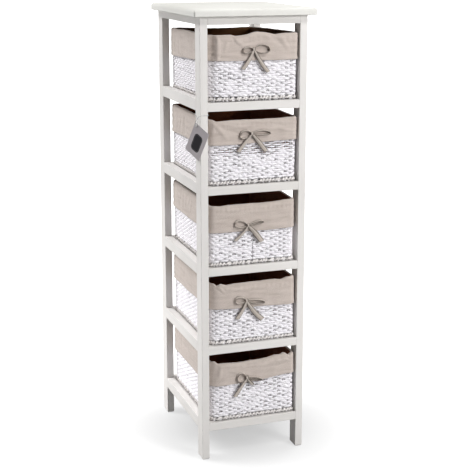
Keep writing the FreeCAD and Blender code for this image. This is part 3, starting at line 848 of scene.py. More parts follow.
def flap_start(n, rng):
    """The flap before it hangs: rows of (outward, height) for each place round the outline."""
    s = np.arange(N_AROUND) * LOOP / N_AROUND
    rim = FLAP_TOP + 0.0006 * wave_noise(rng, 13, 5, LOOP)(s) * (1 - 0.5 * np.exp(-((s - S_FRONT) / 0.2) ** 2))
    hem = 0.001 * round_the_loop(HEM[n])(s) + 0.0006 * wave_noise(rng, 5, 2, LOOP)(s)
    r_in, r_out = 0.0028, 0.0030
    out_face, in_face = 0.0012, -0.0056
    rows = []
    for t in (0.0, 0.5):
        rows.append((np.full_like(s, in_face), rim - r_in - BAND_IN * (1 - t)))
    for a in np.linspace(0, math.pi / 2, 4):
        rows.append((np.full_like(s, in_face + r_in * (1 - math.cos(a))), rim - r_in + r_in * math.sin(a)))
    for a in np.linspace(0, math.pi / 2, 4):
        rows.append((np.full_like(s, out_face - r_out + r_out * math.sin(a)), rim - r_out + r_out * math.cos(a)))
    top = rim - r_out
    for t in np.linspace(0, 1, 23)[1:]:
        rows.append((np.full_like(s, out_face) + 0.0006 * t, top + (hem - top) * t))
    d = np.stack([r[0] for r in rows], 1)
    z = np.stack([r[1] for r in rows], 1)
    return s, d, z


def to_world(s, d, z, base):
    x, y, nx, ny = outline(s)
    return np.stack([x[:, None] + nx[:, None] * d, y[:, None] + ny[:, None] * d, base + z], -1)


def hang(grid, base, pinned_rows, shrink, seed, frames=26):
    """Lets the flap hang with a little spare cloth against the side of the basket."""
    n_u, n_v = grid.shape[:2]
    me_quads = grid_quads(n_u, n_v, True, False)
    cloth = build("hanging_flap", grid.reshape(-1, 3), me_quads)
    group = cloth.vertex_groups.new(name="held")
    weights = np.zeros(n_v)
    weights[: pinned_rows] = 1.0
    weights[pinned_rows] = 0.6
    weights[pinned_rows + 1] = 0.2
    for j in range(n_v):
        if weights[j] > 0:
            group.add([int(i * n_v + j) for i in range(n_u)], float(weights[j]), "REPLACE")
    sc = np.arange(240) * LOOP / 240
    zc = np.linspace(0.0, FLAP_TOP - 0.0012, 12)
    wall = to_world(sc, np.full((240, 12), 0.0001), np.broadcast_to(zc, (240, 12)), base)
    wall_quads = grid_quads(240, 12, True, False)
    w = wall.reshape(-1, 3)[wall_quads[0]]
    if np.cross(w[1] - w[0], w[2] - w[0]) @ (w[0] - np.array((0.0, (BY0 + BY1) / 2, w[0][2]))) < 0:
        wall_quads = wall_quads[:, ::-1]
    body = build("basket_side", wall.reshape(-1, 3), wall_quads)
    col = body.modifiers.new("Collision", "COLLISION")
    body.collision.thickness_outer = 0.0004
    body.collision.cloth_friction = 6.0
    mod = cloth.modifiers.new("Cloth", "CLOTH")
    st = mod.settings
    st.quality = 6
    st.mass = 0.22
    st.tension_stiffness = st.compression_stiffness = 18
    st.shear_stiffness = 8
    st.bending_stiffness = 0.35
    st.tension_damping = st.compression_damping = 12
    st.shear_damping = 8
    st.bending_damping = 0.8
    st.air_damping = 3.0
    st.vertex_group_mass = "held"
    st.pin_stiffness = 1.0
    st.shrink_min = st.shrink_max = -shrink
    mod.collision_settings.use_collision = True
    mod.collision_settings.distance_min = 0.0006
    mod.collision_settings.collision_quality = 3
    mod.collision_settings.use_self_collision = False
    mod.point_cache.frame_start = 1
    mod.point_cache.frame_end = frames
    sc_ = bpy.context.scene
    for f in range(1, frames + 1):
        sc_.frame_set(f)
    dg = bpy.context.evaluated_depsgraph_get()
    ev = cloth.evaluated_get(dg)
    co = np.zeros(len(ev.data.vertices) * 3, np.float32)
    ev.data.vertices.foreach_get("co", co)
    out = co.reshape(n_u, n_v, 3).astype(float)
    for o in (cloth, body):
        me = o.data
        bpy.data.objects.remove(o)
        bpy.data.meshes.remove(me)
    sc_.frame_set(1)
    return out


def outward(grid, s):
    """How far each point of the grid is outside the outline, along the outline's normal at s."""
    x, y, nx, ny = outline(s)
    return (grid[..., 0] - x[:, None]) * nx[:, None] + (grid[..., 1] - y[:, None]) * ny[:, None]


F = S_FRONT
# creases of each flap: from a place and depth (0 at the rim, 1 at the hem) to another, half width and height (m)
CREASES = {
    1: [(F - 0.079, 0.0, F - 0.080, 1.0, 0.0040, 0.0016), (F - 0.048, 0.0, F - 0.043, 0.16, 0.0030, -0.0014),
        (F - 0.044, 0.10, F - 0.022, 0.42, 0.0042, 0.0009), (F - 0.056, 0.10, F - 0.064, 0.62, 0.0045, 0.0006),
        (F + 0.040, 0.06, F + 0.058, 0.36, 0.0045, -0.0009), (F + 0.060, 0.10, F + 0.074, 0.55, 0.0050, 0.0007),
        (F - 0.030, 0.45, F + 0.014, 0.38, 0.0040, 0.0006), (F - 0.074, 0.78, F - 0.020, 0.84, 0.0030, 0.0006)],
    2: [(F - 0.085, 0.10, F - 0.060, 0.72, 0.0050, 0.0009), (F - 0.070, 0.30, F - 0.030, 0.55, 0.0045, -0.0006),
        (F - 0.050, 0.22, F + 0.000, 0.30, 0.0035, 0.0006), (F + 0.035, 0.14, F + 0.070, 0.34, 0.0050, -0.0006),
        (F + 0.060, 0.45, F + 0.088, 0.62, 0.0045, 0.0006), (F - 0.088, 0.0, F - 0.091, 0.55, 0.0030, 0.0009)],
    3: [(F - 0.088, 0.12, F - 0.030, 0.20, 0.0040, 0.0006), (F - 0.080, 0.50, F - 0.020, 0.42, 0.0035, -0.0005),
        (F + 0.020, 0.30, F + 0.080, 0.24, 0.0040, 0.0005), (F + 0.030, 0.62, F + 0.085, 0.52, 0.0035, 0.0006),
        (F + 0.040, 0.74, F + 0.090, 0.60, 0.0025, -0.0005), (F - 0.050, 0.80, F - 0.005, 0.74, 0.0030, 0.0005)],
    4: [(F - 0.086, 0.06, F - 0.074, 0.26, 0.0028, -0.0010), (F - 0.080, 0.05, F - 0.066, 0.30, 0.0032, 0.0009),
        (F - 0.060, 0.14, F - 0.010, 0.30, 0.0040, 0.0007), (F - 0.030, 0.28, F + 0.030, 0.36, 0.0035, -0.0005),
        (F + 0.072, 0.02, F + 0.086, 0.20, 0.0028, -0.0010), (F + 0.030, 0.55, F + 0.080, 0.50, 0.0035, 0.0005)],
    5: [(F - 0.082, 0.04, F - 0.090, 0.72, 0.0034, -0.0012), (F - 0.074, 0.06, F - 0.078, 0.60, 0.0045, 0.0010),
        (F - 0.050, 0.40, F - 0.010, 0.62, 0.0050, 0.0006), (F + 0.020, 0.30, F + 0.080, 0.22, 0.0050, 0.0008),
        (F + 0.050, 0.50, F + 0.088, 0.40, 0.0040, -0.0006), (F - 0.020, 0.18, F + 0.040, 0.12, 0.0035, -0.0005)],
}


def crumple(n, s, down, drop):
    """Creases and slack in the hanging part: outward offsets in metres for places s and depths down."""
    rng = np.random.default_rng(6600 + n)
    out = np.zeros((len(s), len(down)))
    t = down[None, :]
    lines = [(a, b, c, d, w, (1.45 if n == 1 else 1.15) * e) for a, b, c, d, w, e in CREASES[n]]
    for side in (S_LEFT, S_RIGHT, 0.0):
        span = 0.11 if side else 0.075
        for k in range(9):
            a = side + rng.uniform(-span, span)
            lean = rng.normal() * 0.010
            t0 = rng.uniform(0.0, 0.35)
            lines.append((a, t0, a + lean, rng.uniform(t0 + 0.35, 1.0), rng.uniform(0.003, 0.008), rng.choice((-0.6, 1.0)) * rng.uniform(0.0006, 0.0016)))
    for s0, t0, s1, t1, half, rise in lines:
        px = np.mod(s[:, None] - s0 + LOOP / 2, LOOP) - LOOP / 2
        py = (t - t0) * drop
        dx, dy = s1 - s0, (t1 - t0) * drop
        u = np.clip((px * dx + py * dy) / (dx * dx + dy * dy), 0, 1)
        far = np.hypot(px - u * dx, py - u * dy)
        out += 1.70 * rise * np.exp(-(far / (0.78 * half)) ** 2) * (0.55 + 0.45 * np.sin(math.pi * u))
    # soft level streaks, as of cloth that was folded flat
    for k in range(18):
        kz = 2 * math.pi / rng.uniform(0.007, 0.020)
        ks = 2 * math.pi * rng.integers(-13, 14) / LOOP
        amp = rng.uniform(0.00005, 0.00014)
        patch = 0.5 + 0.5 * np.sin(2 * math.pi * rng.integers(1, 6) * s[:, None] / LOOP + rng.uniform(0, 6.28))
        out += amp * patch * np.sin(ks * s[:, None] + kz * t * drop + rng.uniform(0, 6.28))
    # short puckers below the rim
    pucker = wave_noise(rng, 3, 29, LOOP)(s)[:, None]
    out += 0.00030 * pucker * np.exp(-((t - 0.10) / 0.14) ** 2)
    return out * smoothstep(0.0, 0.10, down)[None, :]


def liner_flap(n):
    rng = np.random.default_rng(7700 + n)
    base = float(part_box("basket_%d" % n)[0].z)
    s, d, z = flap_start(n, rng)
    rim_row = 9
    grid = to_world(s, d, z, base)
    n_v = grid.shape[1]
    down = np.clip((np.arange(n_v) - rim_row) / (n_v - 1 - rim_row), 0, 1)
    # spare cloth, which the simulation lets hang
    add = 0.6 * crumple(n, s, down, FLAP_H)
    grid = to_world(s, d + add, z, base)
    grid = hang(grid, base, 10, 0.026, n)
    now = outward(grid, s)
    x, y, nx, ny = outline(s)
    # keep the cloth between the weave and the posts
    wide = now - now.mean(0)
    for k in range(6):
        wide = 0.5 * wide + 0.25 * (np.roll(wide, 1, 0) + np.roll(wide, -1, 0))
    hung = 0.0018 * smoothstep(0.0, 0.12, down)[None, :] + (now.mean(0) * 0 + d[:, 9:10]) * (1 - smoothstep(0.0, 0.12, down))[None, :]
    soft = hung + np.clip(0.5 * wide, -0.0006, 0.0008) + crumple(n, s, down, FLAP_H)
    most = 0.0036
    soft = np.where(soft > 0.0028, 0.0028 + (most - 0.0028) * np.tanh((soft - 0.0028) / (most - 0.0028)), soft)
    soft = np.where(down[None, :] > 0, np.maximum(soft, 0.0009), now)
    grid[..., 0] += nx[:, None] * (soft - now)
    grid[..., 1] += ny[:, None] * (soft - now)
    # the hem is two layers thick
    arc = np.concatenate([np.zeros((len(s), 1)), np.cumsum(np.linalg.norm(np.diff(grid, axis=1), axis=-1), 1)], 1)
    from_hem = arc[:, -1:] - arc
    x, y, nx, ny = outline(s)
    step = 0.00040 * smoothstep(0.0078, 0.0062, from_hem) - 0.0003 * np.exp(-((from_hem - 0.0066) / 0.0007) ** 2)
    step[:, : rim_row] = 0
    grid[..., 0] += nx[:, None] * step
    grid[..., 1] += ny[:, None] * step
    uv_u = np.append(s, LOOP) + 1.3 * n
    mean_v = from_hem.mean(0)
    grid = settle(n, grid)
    # the cloth stays clear of the inner faces of the posts
    knee, most = 0.0992, 0.1003
    far = np.abs(grid[..., 0])
    near_post = knee + (most - knee) * np.tanh(np.maximum(far - knee, 0) / (most - knee))
    grid[..., 0] = np.where(far > knee, np.sign(grid[..., 0]) * near_post, grid[..., 0])
    ob = sheet_to_object("liner_flap_%d" % n, grid, uv_u, mean_v, 0.0007, M_FLAP)
    sub = ob.modifiers.new("Subdivision", "SUBSURF")
    sub.levels = sub.render_levels = 1
    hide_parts("liner_%d" % n)
    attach(ob, "drawer_%d" % n)
    return grid


def lining_bag(n):
    """The bag inside: it stands against the weave, sags a little and lies on the bottom."""
    rng = np.random.default_rng(8800 + n)
    base = float(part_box("basket_%d" % n)[0].z)
    n_u = 200
    s = np.arange(n_u) * LOOP / n_u
    x, y, nx, ny = outline(s)
    rim = np.full(n_u, FLAP_TOP - 0.0028)
    rings, lengths = [], []
    floor_z, depth0, r = 0.0076, 0.0068, 0.012
    fold = wave_noise(rng, 14, 3, LOOP)
    fold2 = wave_noise(rng, 10, 5, LOOP)
    for a in np.linspace(math.radians(28), math.pi / 2, 5)[:-1]:
        dd = depth0 - 0.0030 * (1 - math.sin(a))
        zz = rim + 0.0030 * math.cos(a)
        rings.append((x - nx * dd, y - ny * dd, base + zz))
    for t in np.linspace(0, 1, 15):
        zz = rim + (floor_z + r - rim) * t
        w = (fold(s + 0.02 * t) * 0.0009 + 0.0010) * math.sin(math.pi * min(1, t * 1.1)) + (fold2(s) * 0.0004 + 0.0004) * t
        rings.append((x - nx * (depth0 + w), y - ny * (depth0 + w), base + zz))
    for a in np.linspace(0, math.pi / 2, 6)[1:]:
        dd = depth0 + 0.0004 + r * (1 - math.cos(a))
        zz = floor_z + r - r * math.sin(a)
        w = fold(s) * 0.0005 + 0.0005
        rings.append((x - nx * (dd + w), y - ny * (dd + w), np.full_like(s, base + zz)))
    lx, ly, lz = rings[-1]
    cy = (BY0 + BY1) / 2
    for k in np.linspace(1, 0.03, 14)[1:]:
        px, py = lx * k, cy + (ly - cy) * k
        wob = 0.0007 * np.sin(px * 95 + n) * np.sin(py * 80 + 2 * n) + 0.0007
        rings.append((px, py, base + floor_z + wob * (1 - k * 0.7)))
    grid = np.stack([np.stack(c, -1) for c in rings], 1)
    arc = np.concatenate([[0], np.cumsum(np.linalg.norm(np.diff(grid, axis=1), axis=-1).mean(0))])
    # drawer 1's bag takes the darker painted-shade copy
    ob = sheet_to_object("lining_bag_%d" % n, settle(n, grid), np.append(s, LOOP) + 0.7 * n, arc, 0.0005, M_SHADED_LINING_1 if n == 1 else M_SHADED_LINING)
    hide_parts("liner_%d" % n)
    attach(ob, "drawer_%d" % n)


for n in DRAWERS:
    liner_flap(n)
    lining_bag(n)

# ---------------------------------------------------------------------------
# bows: flat ribbon, tied, in front of each flap
# ---------------------------------------------------------------------------


def smooth_path(points, count):
    """A smooth line through a few points, by centripetal Catmull-Rom, evenly sampled."""
    p = np.asarray(points, float)
    p = np.concatenate([[2 * p[0] - p[1]], p, [2 * p[-1] - p[-2]]])
    dense = []
    for i in range(1, len(p) - 2):
        p0, p1, p2, p3 = p[i - 1 : i + 3]
        t0 = 0.0
        t1 = t0 + max(np.linalg.norm(p1 - p0), 1e-9) ** 0.5
        t2 = t1 + max(np.linalg.norm(p2 - p1), 1e-9) ** 0.5
        t3 = t2 + max(np.linalg.norm(p3 - p2), 1e-9) ** 0.5
        for t in np.linspace(t1, t2, 24, endpoint=False):
            a1 = (t1 - t) / (t1 - t0) * p0 + (t - t0) / (t1 - t0) * p1
            a2 = (t2 - t) / (t2 - t1) * p1 + (t - t1) / (t2 - t1) * p2
            a3 = (t3 - t) / (t3 - t2) * p2 + (t - t2) / (t3 - t2) * p3
            b1 = (t2 - t) / (t2 - t0) * a1 + (t - t0) / (t2 - t0) * a2
            b2 = (t3 - t) / (t3 - t1) * a2 + (t - t1) / (t3 - t1) * a3
            dense.append((t2 - t) / (t2 - t1) * b1 + (t - t1) / (t2 - t1) * b2)
    dense.append(p[-2])
    dense = np.array(dense)
    arc = np.concatenate([[0], np.cumsum(np.linalg.norm(np.diff(dense, axis=0), axis=1))])
    at = np.linspace(0, arc[-1], count)
    return np.stack([np.interp(at, arc, dense[:, k]) for k in range(3)], 1), at


def ribbon(parts, points, widths, wide_dirs, cup=0.0, thick=0.00055, count=34, slant=0.0, mat=0, fold=0.0):
    """A strip of ribbon along a line. widths and wide_dirs are given at each point, and cup bends its section. fold
    moves the strip across the ribbon's painted edge shade, so more of it is painted dark.
    """
    path, at = smooth_path(points, count)
    keys = np.linspace(0, at[-1], len(points))
    # keys at the true arc positions of the points
    arc = np.concatenate([[0], np.cumsum(np.linalg.norm(np.diff(np.asarray(points, float), axis=0), axis=1))])
    keys = arc / arc[-1] * at[-1]
    w = np.interp(at, keys, widths)
    wd = np.stack([np.interp(at, keys, np.asarray(wide_dirs, float)[:, k]) for k in range(3)], 1)
    tan = np.gradient(path, axis=0)
    tan /= np.linalg.norm(tan, axis=1, keepdims=True)
    wd -= (wd * tan).sum(1, keepdims=True) * tan
    wd /= np.maximum(np.linalg.norm(wd, axis=1, keepdims=True), 1e-9)
    nrm = np.cross(tan, wd)
    q = np.linspace(-1, 1, 7)
    cup_v = np.interp(at, keys, np.broadcast_to(cup, (len(points),)))
    mid = path[:, None, :] + wd[:, None, :] * (w[:, None, None] * 0.5 * q[None, :, None])
    mid = mid + nrm[:, None, :] * (cup_v[:, None] * (1 - np.abs(q)[None, :] ** 1.15))[..., None]
    if slant:
        # the cut end is slanted
        last = 3
        for i in range(last):
            k = (i + 1) / last
            mid[-last + i] += tan[-1] * (slant * q[:, None]) * k
    front = mid + nrm[:, None, :] * thick / 2
    back = mid - nrm[:, None, :] * thick / 2
    m, c = mid.shape[:2]
    verts = np.concatenate([front.reshape(-1, 3), back.reshape(-1, 3)])
    q1 = grid_quads(m, c)
    q2 = q1[:, ::-1] + m * c
    i = np.arange(m - 1)
    e0 = np.stack([i * c, (i + 1) * c, (i + 1) * c + m * c, i * c + m * c], -1)[:, ::-1]
    e1 = (np.stack([i * c, (i + 1) * c, (i + 1) * c + m * c, i * c + m * c], -1) + c - 1)
    k = np.arange(c - 1)
    e2 = np.stack([k, k + 1, k + 1 + m * c, k + m * c], -1)
    e3 = (np.stack([k, k + 1, k + 1 + m * c, k + m * c], -1) + (m - 1) * c)[:, ::-1]
    # fold moves the strip across the painted edge shade
    uv1 = grid_uvs(at, q * 0.0035 + fold).reshape(-1, 4, 2)
    rest = len(e0) * 2 + len(e2) * 2
    quads = np.concatenate([q1, q2, e0, e1, e2, e3])
    # the thin cut sides also sit in the painted edge shade
    sides = np.full((rest * 4, 2), 0.0024)
    uvs = np.concatenate([uv1.reshape(-1, 2), uv1[:, ::-1].reshape(-1, 2), sides])
    parts.add(verts, quads, uvs, mat)


Y_FLAP = BY0 - 0.0024         # face of the flap behind the bow
# (across, height above the basket's underside) in millimetres: k is the knot, ll and lr are the tips of the
# left and right loop with how far the loop rises over and drops under its middle line, and how far its front
# edge leans down; tl and tr are the tips of the tails with their width and first half's bow sideways
# fll, flr and ftr, where given, move that loop or tail across into the ribbon's painted edge shade, in metres
BOWS = {
    1: dict(k=(-1.7, 107.8), ll=(-25.7, 106.0, 5.0, 7.0, 0.34), lr=(33.0, 106.5, 9.6, 8.0, 0.30),
            tl=(-25.5, 67.5, 9.2, 1.2), tr=(30.5, 60.5, 9.0, -0.8)),
    2: dict(k=(-5.3, 109.2), ll=(-32.0, 106.0, 8.6, 7.5, 0.55), lr=(36.0, 108.5, 6.0, 3.4, 0.45),
            tl=(-35.5, 72.0, 8.8, -1.5), tr=(26.5, 70.5, 10.2, 1.8)),
    3: dict(k=(-13.0, 88.5), ll=(-43.5, 93.0, 8.8, 6.0, 0.50), lr=(21.5, 94.5, 4.2, 2.4, 0.42),
            tl=(-42.5, 57.0, 7.6, 1.0), tr=(18.5, 51.0, 12.0, 2.2)),
    4: dict(k=(-16.4, 97.8), ll=(-42.7, 100.0, 7.6, 6.0, 0.55), lr=(25.0, 91.5, 4.0, 5.2, 0.40),
            tl=(-38.0, 58.5, 9.6, 1.4), tr=(20.5, 52.0, 11.6, -1.4)),
    5: dict(k=(-14.7, 96.5), ll=(-38.0, 97.5, 11.5, 8.0, 0.40), lr=(21.0, 87.5, 3.6, 1.8, 0.10), flr=0.0016, ftr=0.0012, fll=0.0006,
            tl=(-42.5, 56.0, 9.4, -1.0), tr=(-1.0, 79.0, 7.6, 0.6)),
}


def tie_bow(n):
    rng = np.random.default_rng(9900 + n)
    base = float(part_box("basket_%d" % n)[0].z)
    b = BOWS[n]
    kx, kz = b["k"]

    def pt(x, out, z):
        # out is measured from the cloth of the flap
        return (0.001 * x, Y_FLAP - 0.001 * out, base + 0.001 * z)

    def d(x, out, z):
        v = np.array((x, -out, z), float)
        return v / np.linalg.norm(v)

    parts = Parts()
    # loops: the ribbon stands on edge, out along the top, round the tip and back below
    for key, sx in (("ll", -1), ("lr", 1)):
        tx, tz, rise, drop, lean = b[key]
        L, dz = abs(tx - kx), tz - kz
        pts, wide, widths, cups = [], [], [], []
        for f, e, out, w, c in ((0.03, 0.12, 4.1, 4.0, 0.5), (0.16, 0.50, 4.3, 5.0, 0.4), (0.38, 0.92, 4.4, 6.2, 0.2),
                                (0.64, 1.0, 4.3, 6.6, 0.0), (0.86, 0.74, 4.2, 6.8, 0.0), (0.985, 0.22, 4.0, 6.8, 0.0),
                                (0.975, -0.32, 3.9, 6.8, 0.0), (0.84, -0.78, 3.8, 6.7, 0.0), (0.62, -1.0, 3.7, 6.5, 0.0),
                                (0.36, -0.86, 3.6, 6.0, -0.2), (0.15, -0.46, 3.5, 5.0, -0.4), (0.03, -0.14, 3.4, 4.0, -0.5)):
            off = e * (rise if e > 0 else drop)
            pts.append(pt(kx + sx * L * f, out, kz + dz * f + off))
            wide.append(d(-0.10 * sx * e, 1.0, -lean - 0.10 * e))
            widths.append(0.001 * w)
            cups.append(0.001 * c)
        ribbon(parts, pts, widths, wide, cups, count=60, fold=b.get("f" + key, 0.0))
    # tails: from under the knot, down over the flap and past its hem, standing a little off it
    for key, sx, first in (("tl", -1, 3.4), ("tr", 1, 4.2)):
        tx, tz, width, sway = b[key]
        L, H = tx - kx, tz - kz
        side = np.array((-H, 0, L))
        side /= np.linalg.norm(side)
        if side[0] < 0:
            side = -side
        pts, wide, widths, cups = [], [], [], []
        for f, out, w, lean, c in ((0.0, first, 0.48, 0.0, 1.6), (0.10, first + 0.5, 0.62, 0.15, 1.9), (0.28, first + 0.4, 0.86, 0.30, 2.1),
                                   (0.50, first - 0.2, 1.0, 0.25, 2.1), (0.72, first - 0.8, 1.0, 0.12, 1.9), (0.90, first - 1.0, 1.0, -0.05, 1.6),
                                   (1.0, first - 0.6, 0.98, -0.15, 1.3)):
            bend = sway * math.sin(math.pi * f)
            g = 0.86 * f + 0.14 * f * f
            pts.append(pt(kx + L * g + side[0] * bend, out, kz - 0.8 + H * (1.06 * f - 0.06 * f * f) + side[2] * bend))
            wide.append(side + np.array((0, -lean * sx, 0)))
            widths.append(0.001 * width * w)
            cups.append(0.001 * c)
        ribbon(parts, pts, widths, wide, cups, count=44, slant=0.0016 * sx, fold=b.get("f" + key, 0.0))
    # the knot: a short turn of ribbon wrapped over the middle
    pts, wide = [], []
    for k in range(9):
        a = math.radians(-150 + k * 300 / 8)
        pts.append(pt(kx + 0.25 * math.sin(a * 0.5), 3.9 + 3.2 * math.cos(a), kz + 3.7 * math.sin(a)))
        wide.append(d(1, 0, 0.12 + 0.1 * rng.normal()))
    ribbon(parts, pts, [0.001 * w for w in (4.6, 5.0, 5.6, 6.0, 6.1, 6.0, 5.6, 5.0, 4.6)], wide, 0.0008, count=30)
    ob = parts.object("ribbon_bow_%d" % n, [M_RIBBON])
    sub = ob.modifiers.new("Subdivision", "SUBSURF")
    sub.levels = sub.render_levels = 1
    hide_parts("bow_%d" % n)
    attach(ob, "drawer_%d" % n)


for n in DRAWERS:
    tie_bow(n)

# ---------------------------------------------------------------------------
# hang tag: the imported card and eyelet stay; a plain dark panel is printed on the card
# ---------------------------------------------------------------------------
TURN, TILT = math.radians(64.0), math.radians(28.0)
U_DIR = np.array((math.cos(TURN), -math.sin(TURN), 0.0))
N_DIR = np.array((-math.sin(TURN), -math.cos(TURN), 0.0))
EYE = np.array((-0.118, -0.150, 0.0)) + N_DIR * 0.0011 + U_DIR * -0.0100 + np.array((0, 0, 0.7435))
TAG_RIGHT = U_DIR * math.cos(TILT) + np.array((0, 0, -1.0)) * math.sin(TILT)
TAG_UP = np.array((0, 0, 1.0)) * math.cos(TILT) + U_DIR * math.sin(TILT)
TAG_W, TAG_H, EYE_X, EYE_Z = 0.046, 0.0665, 0.0060, 0.0046


def tag_material():
    m = Mat("tag_card", 0.62, **{"Specular IOR Level": 0.35})
    c = m.node("TexCoord").outputs["Object"]

    def along(axis, zero):
        n = m.node("VectorMath", operation="DOT_PRODUCT")
        m.link(c, n.inputs[0])
        n.inputs[1].default_value = tuple(axis)
        return m.math("ADD", n.outputs["Value"], zero)

    px = along(TAG_RIGHT, EYE_X - float(EYE @ TAG_RIGHT))                    # from the left edge
    pz = m.math("MULTIPLY", along(TAG_UP, -EYE_Z - float(EYE @ TAG_UP)), -1.0)   # from the top edge

    def rounded(cx, cz, hw, hh, r):
        dx = m.math("MAXIMUM", m.math("SUBTRACT", m.math("ABSOLUTE", m.math("SUBTRACT", px, cx)), hw - r), 0.0)
        dz = m.math("MAXIMUM", m.math("SUBTRACT", m.math("ABSOLUTE", m.math("SUBTRACT", pz, cz)), hh - r), 0.0)
        return m.math("SUBTRACT", m.math("SQRT", m.math("ADD", m.math("MULTIPLY", dx, dx), m.math("MULTIPLY", dz, dz))), r)

    fibre = m.noise(m.coords((1, 1, 1)), 1400.0, 3.0, 0.6)
    cloud = m.noise(m.coords((1, 1, 1)), 160.0, 2.0, 0.5)
    card = m.ramp(m.math("ADD", m.math("MULTIPLY", fibre, 0.6), m.math("MULTIPLY", cloud, 0.4)),
                  [(0.3, (0.520, 0.475, 0.495)), (0.7, (0.600, 0.555, 0.575))])
    dist = rounded(0.0235, 0.0365, 0.0125, 0.0190, 0.008)
    panel = m.range(dist, -0.00015, 0.00015, 1.0, 0.0)
    line = m.range(m.math("ABSOLUTE", m.math("ADD", dist, 0.0022)), 0.0002, 0.0004, 1.0, 0.0)
    ink = m.mix(m.math("MULTIPLY", line, 0.55), (0.010, 0.008, 0.012), (0.30, 0.28, 0.29))
    color = m.mix(panel, card, ink)
    # the cut edges show the lighter core of the card
    geo = m.node("NewGeometry")
    f = m.node("VectorMath", operation="DOT_PRODUCT")
    m.link(geo.outputs["True Normal"], f.inputs[0])
    f.inputs[1].default_value = tuple(N_DIR)
    face = m.math("ABSOLUTE", f.outputs["Value"])
    color = m.mix(m.range(face, 0.3, 0.6, 1.0, 0.0), color, (0.42, 0.40, 0.40))
    return m.finish(color, m.range(fibre, 0.3, 0.7, 0.5, 0.7), m.bump(fibre, 0.00006, 0.5))


paint("hang_tag", tag_material())

m = Mat("clear_nylon", 0.22, **{"Transmission Weight": 0.55, "IOR": 1.53, "Specular IOR Level": 0.5})
g = m.noise(m.coords((1, 1, 1)), 900.0, 2.0, 0.5)
M_LOOP = m.finish(m.ramp(g, [(0.3, (0.86, 0.86, 0.85)), (0.7, (0.93, 0.93, 0.92))]), m.range(g, 0.3, 0.7, 0.18, 0.30), m.bump(g, 0.00003, 0.3))


def tag_loop():
    """A thin moulded loop through the eyelet and round the front left post."""
    g, in_x, xl, yf, yin = 0.0013, 0.1015, -0.118, -0.150, -0.117
    zl = 0.7716 - 0.0065
    pts = [EYE + N_DIR * 0.0023 + (0, 0, -0.0004), EYE + N_DIR * 0.0027 + (0, 0, 0.0035), EYE + N_DIR * 0.0024 + (0, 0, 0.008),
           (xl - 0.0016, yf - 0.0019, zl - 0.001), (-0.110, yf - 0.0017, zl + 0.0004), (-in_x + g, yf - g, zl), (-in_x + 0.0017, -0.1335, zl),
           (-in_x + g, yin + g, zl), (-0.110, yin + 0.0017, zl), (xl - g, yin + g, zl - 0.0006), (xl - 0.0022, yf + 0.016, zl - 0.0045),
           EYE - N_DIR * 0.0019 + (0, 0, 0.0048), EYE - N_DIR * 0.0016 + (0, 0, 0.0004)]
    pts = np.array([tuple(p) for p in pts])
    closed = np.concatenate([pts[-2:], pts, pts[:2]])
    path, at = smooth_path(closed, 420)
    # one full turn only
    start = np.argmin(np.linalg.norm(path[:120] - pts[0], axis=1))
    stop = len(path) - 120 + np.argmin(np.linalg.norm(path[-120:] - pts[0], axis=1))
    path = path[start:stop]
    tan = np.roll(path, -1, 0) - np.roll(path, 1, 0)
    tan /= np.linalg.norm(tan, axis=1, keepdims=True)
    ref = np.tile(np.array((0.0, 0.0, 1.0)), (len(path), 1))
    a = np.cross(tan, ref)
    a /= np.maximum(np.linalg.norm(a, axis=1, keepdims=True), 1e-6)
    # carry the first direction round so the tube never twists
    frame_a = [a[0]]
    for i in range(1, len(path)):
        v = frame_a[-1] - (frame_a[-1] @ tan[i]) * tan[i]
        frame_a.append(v / np.linalg.norm(v))
    a = np.array(frame_a)
    b = np.cross(tan, a)
    sides = 10
    k = np.arange(sides) * 2 * math.pi / sides
    verts = path[:, None, :] + 0.00055 * (a[:, None, :] * np.cos(k)[None, :, None] + b[:, None, :] * np.sin(k)[None, :, None])
    parts = Parts()
    quads = grid_quads(len(path), sides, True, True)
    uvs = grid_uvs(np.arange(len(path) + 1) * 0.0004, np.arange(sides + 1) / sides)
    parts.add(verts, quads, uvs, 0)
    ob = parts.object("nylon_tag_loop", [M_LOOP])
    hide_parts("tag_loop")
    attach(ob, "frame")


tag_loop()

# ---------------------------------------------------------------------------
# stage, lights and camera
# ---------------------------------------------------------------------------
scene = bpy.context.scene
scene.view_settings.view_transform = "Standard"
scene.view_settings.look = "None"
scene.view_settings.exposure = 0.0
scene.view_settings.gamma = 1.0

floor_r, floor_n = 60.0, 96
ang = np.arange(floor_n) * 2 * math.pi / floor_n
ring = np.stack([np.cos(ang), np.sin(ang), np.zeros(floor_n)], -1)
fv = np.concatenate([[[0, 0, 0]], ring * 1.5, ring * floor_r])
ft = np.array([[0, 1 + i, 1 + (i + 1) % floor_n] for i in range(floor_n)])
fq = np.array([[1 + i, 1 + floor_n + i, 1 + floor_n + (i + 1) % floor_n, 1 + (i + 1) % floor_n] for i in range(floor_n)])
m = Mat("studio_floor", 0.9, **{"Specular IOR Level": 0.0})
